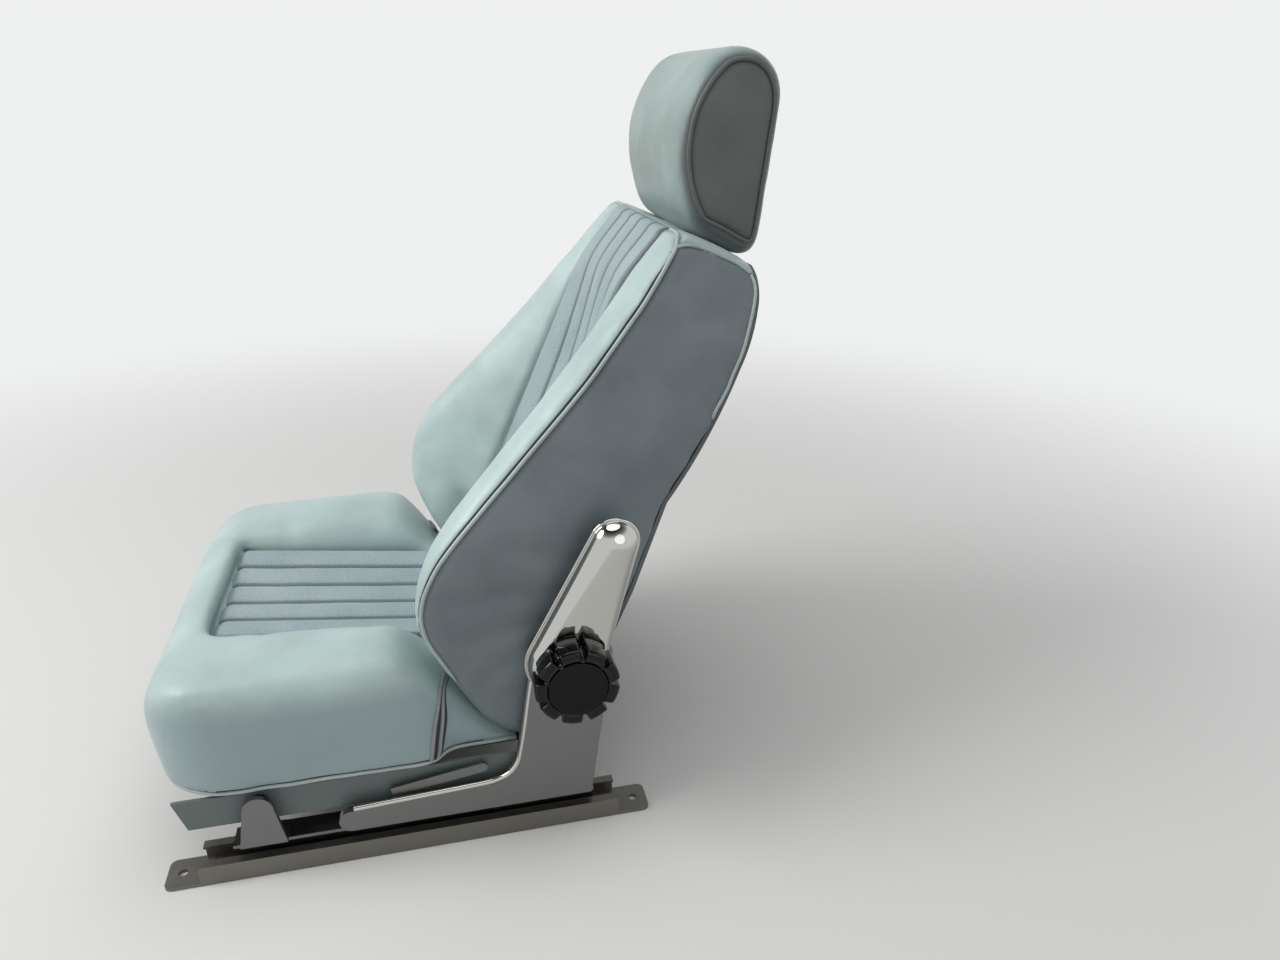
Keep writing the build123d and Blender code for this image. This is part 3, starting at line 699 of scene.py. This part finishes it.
def pleatedPanel(name, profile, stations, levelAt, place):
    rows, across = len(stations), len(profile)
    half = rows * across
    verts = []
    for along in stations:
        for x, level, crown in profile:
            wave = pleats["waveMm"] * noise.noise(Vector((x * 0.02, along * 0.022, 3.0)))
            verts.append(place(x, along, levelAt(along, level, crown) + wave))
    verts += [place(x, along, 0.5) for along in stations for x, level, crown in profile]
    faces = []
    for v in range(rows - 1):
        for u in range(across - 1):
            a = v * across + u
            faces.append((a, a + 1, a + across + 1, a + across))
            faces.append((half + a, half + a + across, half + a + across + 1, half + a + 1))
        a = v * across
        b = a + across - 1
        faces += [(a, a + across, half + a + across, half + a), (b, half + b, half + b + across, b + across)]
    for u in range(across - 1):
        a = (rows - 1) * across + u
        faces += [(u, half + u, half + u + 1, u + 1), (a, a + 1, half + a + 1, half + a)]
    obj = meshObject(name, verts, faces, "pleatLeather")
    layer = obj.data.uv_layers.new(name="leatherMap")
    for loop in obj.data.loops:
        i = loop.vertex_index % half
        layer.data[loop.index].uv = (profile[i % across][0] * mm, stations[i // across] * mm)
    # painted shade in the grooves between the pleats
    pleatAt = np.tile([(x + pleatHalf) / pleats["widthMm"] for x, level, crown in profile], 2 * rows)
    gapMm = (pleatAt - np.round(pleatAt)) * pleats["widthMm"]
    writeShade(obj, "seam", np.exp(-(gapMm / pleats["shadeMm"]) ** 2))
    faceOutwards(obj)
    return obj


backPanel = {
    "levels": (36, 18, 13),         # of the seams, from the sides to the middle
    "seatDepth": -40.0, "fadeFrom": 240.0, "fullest": 37.0, "rollFrom": 466.0, "rollRadius": 14.0, "rollTurn": 1.3,
    "low": -77.0, "tuckFrom": -52.0, "tuckMm": 8.0,
    "below": 3, "blend": 6, "flatter": 0.6,     # under the bolsters' front, how softly, and how flat the crowns grow
    # the strip under the bolsters: how far out and how low, and between which heights it spreads
    "hem": [(-12.0, -9.0), (-8.0, -7.6), (-4.0, -6.2)], "hemFrom": 20.0, "hemFull": 120.0,
}
frontLine = sorted((height, depth) for depth, height in backLook["frontEdge"] if height > 100)


def backPanelLevel(along, level, crown):
    # Towards the top the pleats grow flatter and come up flush with the bolsters, and at the foot they turn in
    look = backPanel
    share = smoothStep(min(1.0, max(0.0, (along - look["fadeFrom"]) / (look["rollFrom"] - look["fadeFrom"]))))
    line = look["seatDepth"] - float(np.interp(min(along, look["rollFrom"]), *zip(*frontLine))) - look["below"]
    flush = (look["fullest"] + line - math.hypot(look["fullest"] - line, look["blend"])) / 2
    tuck = max(0.0, (look["tuckFrom"] - along) / (look["tuckFrom"] - look["low"]))
    return level + (flush - level) * share + crown * (1 - look["flatter"] * share) - look["tuckMm"] * tuck * tuck


def backPanelPlace(x, along, level):
    # The panel leans with the backrest and rolls over into the welt at its top
    rollFrom, radius = backPanel["rollFrom"], backPanel["rollRadius"]
    turn = max(0.0, (along - rollFrom) / radius)
    spread = (along - backPanel["hemFrom"]) / (backPanel["hemFull"] - backPanel["hemFrom"])
    spread = max(0.0, min(1.0, spread, 1 - turn))       # the hem lies under the bolsters only where they are soft
    hem = max(0.0, abs(x) - pleatHalf)
    x = math.copysign(abs(x) - hem * (1 - spread), x)
    return backPoint(x, backPanel["seatDepth"] - level + radius * (1 - math.cos(turn)),
                     min(along, rollFrom) + radius * math.sin(turn))


backStations = [*np.linspace(backPanel["low"], backPanel["rollFrom"], 116),
                *(backPanel["rollFrom"] + backPanel["rollRadius"] * np.linspace(0.12, backPanel["rollTurn"], 10))]
hemmed = [(out - pleatHalf, backPanel["levels"][0], drop) for out, drop in backPanel["hem"]]
backProfile = hemmed + pleatProfile(*backPanel["levels"]) + [(-x, level, drop) for x, level, drop in hemmed[::-1]]
backInsert = pleatedPanel("backrestPleats", backProfile, backStations, backPanelLevel, backPanelPlace)
carried(backInsert, "backrest")
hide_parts("backrest_insert")


# Cushion: side rolls round a pleated panel, with a folded seam down each side where the wings begin

cushionLook = {
    "voxelMm": 7.0, "coarseMm": 14.0, "pressure": 1.6, "capMm": 6.0, "rounds": 26,
    "hold": (14, 0.15), "seam": (7.0, 2.2, 1.0),
    "bottomMm": -131.6,         # where the springs hold it, from the hinge
    "clearMm": (89.6, 139.6),   # how near the hinge its tongue and its sides come, for the backrest to swing
    "tongueHalfMm": 135, "cordMm": 2.6,
    "slopeDeg": 7.0,
    "panelFloor": (-200.0, -52.0),      # behind and above the hinge, where the panel's slope starts
    "panelAlong": (-218.0, 108.0),      # ends of the panel, along the slope from there
    "levels": (18, 14, 11),             # of its seams, from the sides to the middle
    "swellMm": 14,
    "frontSeam": (-4, 16, (-118, -60, 0, 60, 118)),     # before the panel's start, level and places across
    "flank": (0.3, 0.85, (0.0, -34.0)),     # painted shade on the flanks: how far it turns sideways, and how far below the hinge
    "hessian": (-0.3, -120, 4),             # how far it turns down, how low, and how far from the welt
    "creases": [        # sideways, along and level over the panel's slope, then width and depth
        (((126, -222, 26), (160, -246, 22), (200, -262, 10)), 12, 2.4),
        (((130, -150, 40), (172, -160, 48)), 16, 1.8),
        (((132, -40, 46), (176, -34, 52), (220, -40, 46)), 18, 2.6),
        (((134, 40, 44), (180, 52, 46), (222, 48, 30)), 14, 2.8),
        (((262, -20, -30), (262, -70, -52), (260, -120, -58)), 20, 2.0),
        (((70, -276, -10), (90, -284, -50)), 22, 2.0),
    ],
    # the welt along its lower edge, from the hinge round to the middle of its front
    "weltRoute": [(237, -62, -124), (238, -100, -126), (240, -140, -127), (255, -156, -127), (261, -175, -127),
                  (262, -300, -127), (262, -372, -127), (244, -430, -127), (212, -458, -127), (160, -466, -127),
                  (80, -468, -127), (0, -468, -127)],
    # the front rib of the folded strip: sideways, behind and above, and the pitch of the ribs behind it there
    "foldRoute": [(255, -167, -122, 5.0), (255, -162, -92, 5.8), (251, -158, -68, 6.2), (243, -154, -51, 5.2),
                  (228, -149, -42, 3.8), (202, -142, -43, 2.8)],
    "foldCords": [(0.9, 2.6, "shadedFoldLeather"), (0.4, 1.9, "paintedShadeFold")] * 2,     # lift, radius and finish of each; the dark ones are painted shade
}
slope = math.radians(cushionLook["slopeDeg"])
panelStart, panelEnd = cushionLook["panelAlong"]


def cushionPlace(x, along, level):
    behind, above = cushionLook["panelFloor"]
    return sidePoint(x, behind + along * math.cos(slope) + level * math.sin(slope),
                     above - along * math.sin(slope) + level * math.cos(slope))


def cushionLevel(along, level, crown):
    # The pleats swell out of the seam at the front of the panel
    share = min(1.0, (along - panelStart) / cushionLook["swellMm"])
    return (level + crown) * (0.55 + 0.45 * math.sin(math.pi / 2 * share))


def heldCushion(points):
    # Flat on its springs, and clear of the backrest's swing round the hinge
    points[:, 2] = np.maximum(points[:, 2], hinge.z + cushionLook["bottomMm"] * mm)
    offset = points - np.array(hinge)
    reach = np.hypot(offset[:, 1], offset[:, 2])
    least = np.where(np.abs(offset[:, 0]) < cushionLook["tongueHalfMm"] * mm, *cushionLook["clearMm"]) * mm
    points[:, 1:] += offset[:, 1:] * (np.clip(least / reach, 1, 1.2) - 1)[:, None]
    return points


cushionSeams = [smoothPath([cushionPlace(side * insertSeamX, along, 19)
                            for along in (panelStart - 6, -100, 0, panelEnd)]) for name, side in sides]
ahead, level, places = cushionLook["frontSeam"]
cushionSeams.append(smoothPath([cushionPlace(x, panelStart + ahead, level) for x in places]))
lowWelts = [smoothPath([sidePoint(side * x, behind, above) for x, behind, above in cushionLook["weltRoute"]])
            for name, side in sides]


def underCushion(places, facing):
    turn, low, gapMm = cushionLook["hessian"]
    below = fromHinge(places)[:, 2] < low
    return ((facing[:, 2] < turn) & below & (distanceTo(places, lowWelts) > gapMm)).astype(int)


cushionPad = solidCopy("cushionLeather", "seat_cushion", cushionLook["voxelMm"])
stuffed(cushionPad, "seat_cushion", cushionLook, cushionSeams + lowWelts)
creased(cushionPad, [(smoothPath([cushionPlace(side * x, along, level) for x, along, level in run]), width, depth)
                     for name, side in sides for run, width, depth in cushionLook["creases"]])
# painted shade down the cushion's sides
flanked(cushionPad, *cushionLook["flank"])
setPoints(cushionPad, heldCushion(getPoints(cushionPad)))
zoned(cushionPad, ["seatLeather", "hessian"], underCushion)
carried(cushionPad, "base")
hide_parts("seat_cushion")
for (name, side), path in zip(sides, lowWelts):
    cordPiece(f"cushionWelt_{name}", snapped(path, cushionPad, 1.2), cushionLook["cordMm"], "pipingLeather", "base")
number = 0
for name, side in sides:        # ribs and cords of painted shade between them, by turns
    for row, (liftMm, radiusMm, finish) in enumerate(cushionLook["foldCords"]):
        path = smoothPath([sidePoint(side * x, behind + row * pitch, above)
                           for x, behind, above, pitch in cushionLook["foldRoute"]])
        cordPiece(f"cushionFold_{number}", snapped(path, cushionPad, liftMm), radiusMm, finish, "base")
        number += 1

cushionStations = [*np.linspace(panelStart, panelStart + 14, 6), *np.linspace(panelStart + 18, panelEnd, 80)]
cushionInsert = pleatedPanel("cushionPleats", pleatProfile(*cushionLook["levels"]), cushionStations, cushionLevel,
                             cushionPlace)
carried(cushionInsert, "base")
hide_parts("cushion_insert")
print("cushion done")


# Headrest: a leather drum, round in front, with a flat panel and a welt on each side

headLook = {
    "voxelMm": 5.0, "coarseMm": 11.0, "pressure": 4.0, "capMm": 5.0, "rounds": 24,
    "hold": (12, 0.1), "seam": (6.0, 2.6, 0.7),
    "halfWidthMm": 135.0, "weltInsetMm": 12.0, "cordMm": 2.6,
    "sink": (7.0, 520.0, 26),       # how far its soft base settles below the solid's, and from which height down
    "flank": (0.25, 0.8),
    "sideMm": 14,
    "middle": (222, 540),
    # behind and above the hinge, once round the side panel
    "outline": [(179, 461), (162, 500), (157, 540), (164, 582), (182, 616), (212, 643), (248, 643), (272, 622),
                (281, 590), (276, 545), (271, 500), (264, 447), (254, 429), (236, 430), (206, 446)],
}
headEdge = flatPath(headLook["outline"], closed=True)
headNormals = inwardOf(headEdge, headLook["middle"], closed=True)
headTree = treeOf([(*place, 0) for place in headEdge])
headWelt = movedIn(headEdge, headNormals, [headLook["weltInsetMm"]] * len(headEdge))[::2]
headRings = [smoothPath([sidePoint(side * headLook["halfWidthMm"], *place) for place in headWelt], 3.0, closed=True)
             for name, side in sides]


def settledHead(points):
    # It rests on the roll at the top of the backrest
    sinkMm, height, reachMm = headLook["sink"]
    sunk = np.clip((height - onBack(points)[2]) / reachMm, 0, 1) * sinkMm
    return points - np.array(up) * (sunk * mm)[:, None]


def onHeadSide(places, facing):
    chosen = np.zeros(len(places))
    for i, (x, behind, above) in enumerate(fromHinge(places)):
        if abs(x) > headLook["halfWidthMm"] - headLook["sideMm"]:
            index = headTree.find((behind, above, 0))[1]
            inside = (Vector((behind, above)) - Vector(headEdge[index])).dot(headNormals[index])
            chosen[i] = inside > headLook["weltInsetMm"]
    return chosen


headPad = solidCopy("headrestLeather", "headrest_pad", headLook["voxelMm"])
setPoints(headPad, settledHead(getPoints(headPad)))
stuffed(headPad, "headrest_pad", headLook, headRings)
# painted shade on the headrest's flanks
flanked(headPad, *headLook["flank"])
# the drum's ends take the hide with painted shade
zoned(headPad, ["shadedHeadLeather", "shadedHeadSideLeather"], onHeadSide)
carried(headPad, "headrest")
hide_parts("headrest_pad")
# the welts take the dark hide of painted shade
for (name, side), ring in zip(sides, headRings):
    cordPiece(f"headrestWelt_{name}", snapped(ring, headPad, 1.4), headLook["cordMm"], "shadedHeadSideLeather",
              "headrest", closed=True)
print("headrest done")


# Star knob: nine rounded lobes round a flat disc

knobLook = {"lobes": 9, "radiusMm": 47.5, "valleyMm": 37.8, "faceMm": 33.5, "recessMm": 2.0, "edgeMm": 5.0,
            "boreMm": 8.2, "footMm": 1.5, "around": 360,
            "lobeRise": (0.1, 0.26)}        # where a lobe starts to rise, and over how much of half its pitch
knobLow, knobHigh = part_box("recline_knob")


def knobRadius(turn):
    phase = (turn * knobLook["lobes"] / (2 * math.pi)) % 1.0
    rise = 1 - abs(2 * phase - 1)       # 1 in the middle of a lobe
    start, over = knobLook["lobeRise"]
    plateau = smoothStep(max(0.0, min(1.0, (rise - start) / over)))
    return knobLook["valleyMm"] + (knobLook["radiusMm"] - knobLook["valleyMm"]) * plateau


def turnedPiece(name, profile, x, sign, body, finish, around=96, lobed=()):
    # A piece turned about the hinge's axis: the profile gives radius and distance along the axis, and the steps
    # that are lobed follow the knob's outline, which leaves the bore behind them open
    verts = []
    for step, (radius, along) in enumerate(profile):
        for n in range(around):
            turn = 2 * math.pi * n / around
            reach = radius + (knobRadius(turn) if step in lobed else 0)
            verts.append((x + sign * along * mm, hinge.y + reach * math.cos(turn) * mm,
                          hinge.z + reach * math.sin(turn) * mm))
    faces = ringFaces(len(profile), around)
    faces.append(tuple(range((len(profile) - 1) * around, len(profile) * around)))
    if not lobed:
        faces.append(tuple(range(around - 1, -1, -1)))
    return carried(meshObject(name, verts, faces, finish), body)


depth = (knobHigh.x - knobLow.x) / mm
edge, face, foot, recess = (knobLook[key] for key in ("edgeMm", "faceMm", "footMm", "recessMm"))
knobProfile = [(knobLook["boreMm"], 0.0), (-foot, 0.0), (0.0, foot), (0.0, depth * 0.5)]
knobProfile += [(-edge * (1 - math.cos(turn)), depth - edge + edge * math.sin(turn))
                for turn in np.linspace(0, math.pi / 2, 6)]
knobProfile += [(face + 1.2, depth - 0.2), (face, depth - 1.6), (face, depth - recess), (0.5, depth - recess)]
knobPiece = turnedPiece("starKnob", knobProfile, knobLow.x, 1, "knob", "glossyPlastic",
                        knobLook["around"], lobed=range(1, 10))
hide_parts("recline_knob")

capLow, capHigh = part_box("knob_cap")
capProfile = [(33.0, 0.0), (33.0, 2.0), (32.2, 2.8), (30.5, 3.0), (28.5, 2.6), (12.0, 2.2), (0.5, 2.1)]
capPiece = turnedPiece("knobDisc", capProfile, capLow.x, 1, "knob", "blackPlastic")
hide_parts("knob_cap")
pinLow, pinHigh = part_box("hinge_pin_cap")
pinProfile = [(15.0, 0.0), (15.0, 3.4), (14.0, 5.2), (12.0, 6.0), (0.5, 6.0)]
pinPiece = turnedPiece("pinCap", pinProfile, pinHigh.x, -1, "base", "blackPlastic")
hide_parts("hinge_pin_cap")
print("knob done")


# Recliner covers: a chromed pressing, wide and flat round the pin, narrowing upwards to a ridge

coverLook = {
    "lowMiddle": (-6.0, 0.0), "highMiddle": (-11.0, 155.0),     # depth and height of the two ends
    "lowRadius": (44.2, 34.0), "highRadius": (26.2, 2.5),       # above the rolled rim and at the raised face
    "rim": [(2.8, 0.0), (2.8, 1.8), (2.2, 2.7), (1.2, 2.9), (0.5, 2.4)],     # outset and level of the rolled rim
    "shoulderMm": 2.2, "raisedMm": 22.5, "dropMm": 3, "swellMm": 3.4, "wallMm": 1.6, "around": 160, "layers": 14,
    "faceShares": (0.85, 0.7, 0.55, 0.4, 0.25, 0.1, 0.02),
}


def hullRing(lowRadius, highRadius, highDrop):
    # Points round the hull of the two circles, in depth and height, from one tangent point to the other
    low, high = Vector(coverLook["lowMiddle"]), Vector(coverLook["highMiddle"]) - Vector((0, highDrop))
    tilt = math.asin((lowRadius - highRadius) / (high - low).length)
    axis = (high - low).normalized()
    cross = Vector((axis.y, -axis.x))
    half = coverLook["around"] // 2
    ring = []
    for middle, radius, start, span in ((high, highRadius, tilt - math.pi / 2, math.pi - 2 * tilt),
                                        (low, lowRadius, math.pi / 2 - tilt, math.pi + 2 * tilt)):
        for n in range(half):
            angle = start + n / (half - 1) * span
            ring.append(middle + axis * math.cos(angle) * radius + cross * math.sin(angle) * radius)
    return ring


def chromeCover(name, sign):
    (lowRim, low), (highRim, high) = coverLook["lowRadius"], coverLook["highRadius"]
    raisedMm, shoulderMm, dropMm = coverLook["raisedMm"], coverLook["shoulderMm"], coverLook["dropMm"]
    layers = [(lowRim + outset, highRim + outset, 0, level, 0) for outset, level in coverLook["rim"]]
    for k in range(coverLook["layers"] + 1):
        turn = math.pi / 2 * k / coverLook["layers"]
        layers.append((low + (lowRim - low) * math.cos(turn), high + (highRim - high) * math.cos(turn),
                       dropMm * math.sin(turn), shoulderMm + (raisedMm - shoulderMm) * math.sin(turn), 0))
    for share in coverLook["faceShares"]:      # the face swells a little towards its middle
        layers.append((low * share, high * share, dropMm, raisedMm, coverLook["swellMm"] * (1 - share ** 2)))
    around = coverLook["around"]
    base = sign * (abs(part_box("hinge_cover_" + name)[0 if sign > 0 else 1].x))
    verts = []
    for low, high, drop, raised, swell in layers:
        for depth, height in hullRing(low, high, drop):
            lower = 1 - max(0.0, min(1.0, height / coverLook["highMiddle"][1]))
            verts.append(backPoint(base / mm + sign * (raised + swell * lower), depth, height))
    faces = ringFaces(len(layers), around)
    faces.append(tuple(range((len(layers) - 1) * around, len(layers) * around)))
    obj = meshObject("chromeCover_" + name, verts, faces, "polishedChrome")
    faceOutwards(obj, weldMm=0.02)
    wall = obj.modifiers.new("wall", "SOLIDIFY")
    wall.thickness = coverLook["wallMm"] * mm
    wall.offset = -1
    baked(obj)
    carried(obj, "backrest")
    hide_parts("hinge_cover_" + name)


for name, sign in sides:
    chromeCover(name, sign)
print("covers done")


# Rolled front edges of the two hinge brackets, bright where the pressing was turned over

bracketEdge = {
    "x": 266.9, "radiusMm": 3.4,
    "route": [(-46, -22), (-51, -52), (-57, -90), (-62.5, -119), (-67, -136), (-77, -149.5), (-92, -156.5),
              (-108, -159), (-150, -161.2), (-205, -163.8), (-258, -166.4)],       # behind and above the hinge
}
for name, side in sides:
    route = smoothPath([sidePoint(side * bracketEdge["x"], *place) for place in bracketEdge["route"]])
    cordPiece(f"bracketRolledEdge_{name}", route, bracketEdge["radiusMm"], "rolledEdge", "base",
              resolution=5)


# Springs: round wire bent to and fro, where the straight runs of the solid are

springLook = {"count": 4, "pitchMm": 94.0, "halfWidthMm": 30.0, "bends": 8, "hookMm": 20.0, "wireMm": 2.0}
frontTube, rearTube = ((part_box(name)[0].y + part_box(name)[1].y) / 2 / mm for name in ("front_tube", "rear_tube"))
springZ = (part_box("seat_springs")[0].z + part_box("seat_springs")[1].z) / 2
start, stop = frontTube + springLook["hookMm"], rearTube - springLook["hookMm"]
bendMm = (stop - start) / springLook["bends"]
for row in range(springLook["count"]):
    middle = (row - (springLook["count"] - 1) / 2) * springLook["pitchMm"]
    route = [(middle, frontTube - 4), (middle, start - 10), (middle, start)]
    for bend in range(springLook["bends"]):
        reach = springLook["halfWidthMm"] * (1 if bend % 2 else -1)
        for along, share in ((0.2, 0.93), (0.5, 1), (0.8, 0.93)):
            route.append((middle + reach * share, start + (bend + along) * bendMm))
    route += [(middle, stop), (middle, stop + 10), (middle, rearTube + 4)]
    path = smoothPath([Vector((x * mm, y * mm, springZ)) for x, y in route], 3.0)
    cordPiece(f"zigzagSpring_{row}", path, springLook["wireMm"], "springWire", "base")
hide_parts("seat_springs")
print("springs done")


# Camera, floor and light

cameraLook = {
    "place": (1.145, 0.064, 0.838),     # where the photograph was taken from, in the frame of the seat
    "target": (0.0, 0.337, 0.338),      # turned a little towards where the photograph was aimed
    "lensMm": 25.6,
}
camera = newObject("camera", bpy.data.cameras.new("camera"))
camera.location = cameraLook["place"]
camera.data.lens = cameraLook["lensMm"]
camera.data.clip_start = 0.05
camera.rotation_euler = (Vector(cameraLook["target"]) - camera.location).to_track_quat("-Z", "Y").to_euler()
bpy.context.scene.camera = camera

lampTable = {      # place, size and power in watts
    "window": ((0.1, -2.8, 2.6), 2.2, 88),
    "sky": ((0.0, 0.3, 3.2), 2.8, 34),
    "room": ((2.8, 1.4, 1.6), 2.2, 9),
}
for name, (place, size, power) in lampTable.items():
    lamp = newObject(name, bpy.data.lights.new(name, "AREA"))
    lamp.data.shape = "DISK"
    lamp.data.size = size
    lamp.data.energy = power
    lamp.location = place
    lamp.rotation_euler = (Vector((0, 0, 0.4)) - Vector(place)).to_track_quat("-Z", "Y").to_euler()


def seenDirectly(tree):
    # 1 for what the camera, a reflection or glass shows, and 0 for what lights the seat
    ray = addNode(tree, "LightPath").outputs
    first = addNode(tree, "Math", {0: ray["Is Camera Ray"], 1: ray["Is Glossy Ray"]}, operation="MAXIMUM")
    return addNode(tree, "Math", {0: first, 1: ray["Is Transmission Ray"]}, operation="MAXIMUM")


studioLook = {
    "paleColor": "#eff0f0", "floorColor": "#d6d6d4", "fillLight": 0.4, "plainFromM": 0.75, "plainToM": 2.6,
    "walls": [(0.5, "#eff0f0"), (0.7, "#85898a"), (0.88, "#2a2d2e")],      # pale walls under a dark ceiling
}
pale = hexColor(studioLook["paleColor"])
world = bpy.data.worlds.new("studio")
world.use_nodes = True
bpy.context.scene.world = world
sky = world.node_tree
direct = seenDirectly(sky)
heading = addNode(sky, "SeparateXYZ", {"Vector": addNode(sky, "TexCoord").outputs["Generated"]})
walls = addNode(sky, "ValToRGB", {"Fac": heading.outputs["Z"]})
walls.color_ramp.elements.new(0.5)
for element, (place, code) in zip(walls.color_ramp.elements, studioLook["walls"]):
    element.position = place
    element.color = hexColor(code)
shown = addNode(sky, "Mix", {0: direct, 6: pale, 7: walls}, data_type="RGBA")
level = addNode(sky, "MapRange", {"Value": direct, "To Min": studioLook["fillLight"], "To Max": 1.0})
join(sky, sky.nodes["Background"], {"Color": shown.outputs[2], "Strength": level})

ground, groundShader = newMaterial("paleFloor")     # painted board: matt, and plain white further off
join(ground, groundShader, {"Base Color": hexColor(studioLook["floorColor"]), "Roughness": 0.75})
reach = addNode(ground, "VectorMath", {0: addNode(ground, "TexCoord").outputs["Object"]}, operation="LENGTH")
plain = addNode(ground, "MapRange", {"Value": reach.outputs["Value"], "From Min": studioLook["plainFromM"],
                                     "From Max": studioLook["plainToM"]}, interpolation_type="SMOOTHSTEP")
share = addNode(ground, "Math", {0: plain, 1: seenDirectly(ground)}, operation="MULTIPLY")
glow = addNode(ground, "Emission", {"Color": pale, "Strength": 1.0})
merged = addNode(ground, "MixShader", {0: share, 1: groundShader, 2: glow})
join(ground, ground.nodes["Material Output"], {"Surface": merged})
floor = meshObject("floor", [(-60, -60, 0), (60, -60, 0), (60, 60, 0), (-60, 60, 0)], [(0, 1, 2, 3)], "paleFloor",
                   smooth=False)
floor.location.z = cadLow.z - 0.0005

bpy.context.scene.view_settings.view_transform = "Standard"
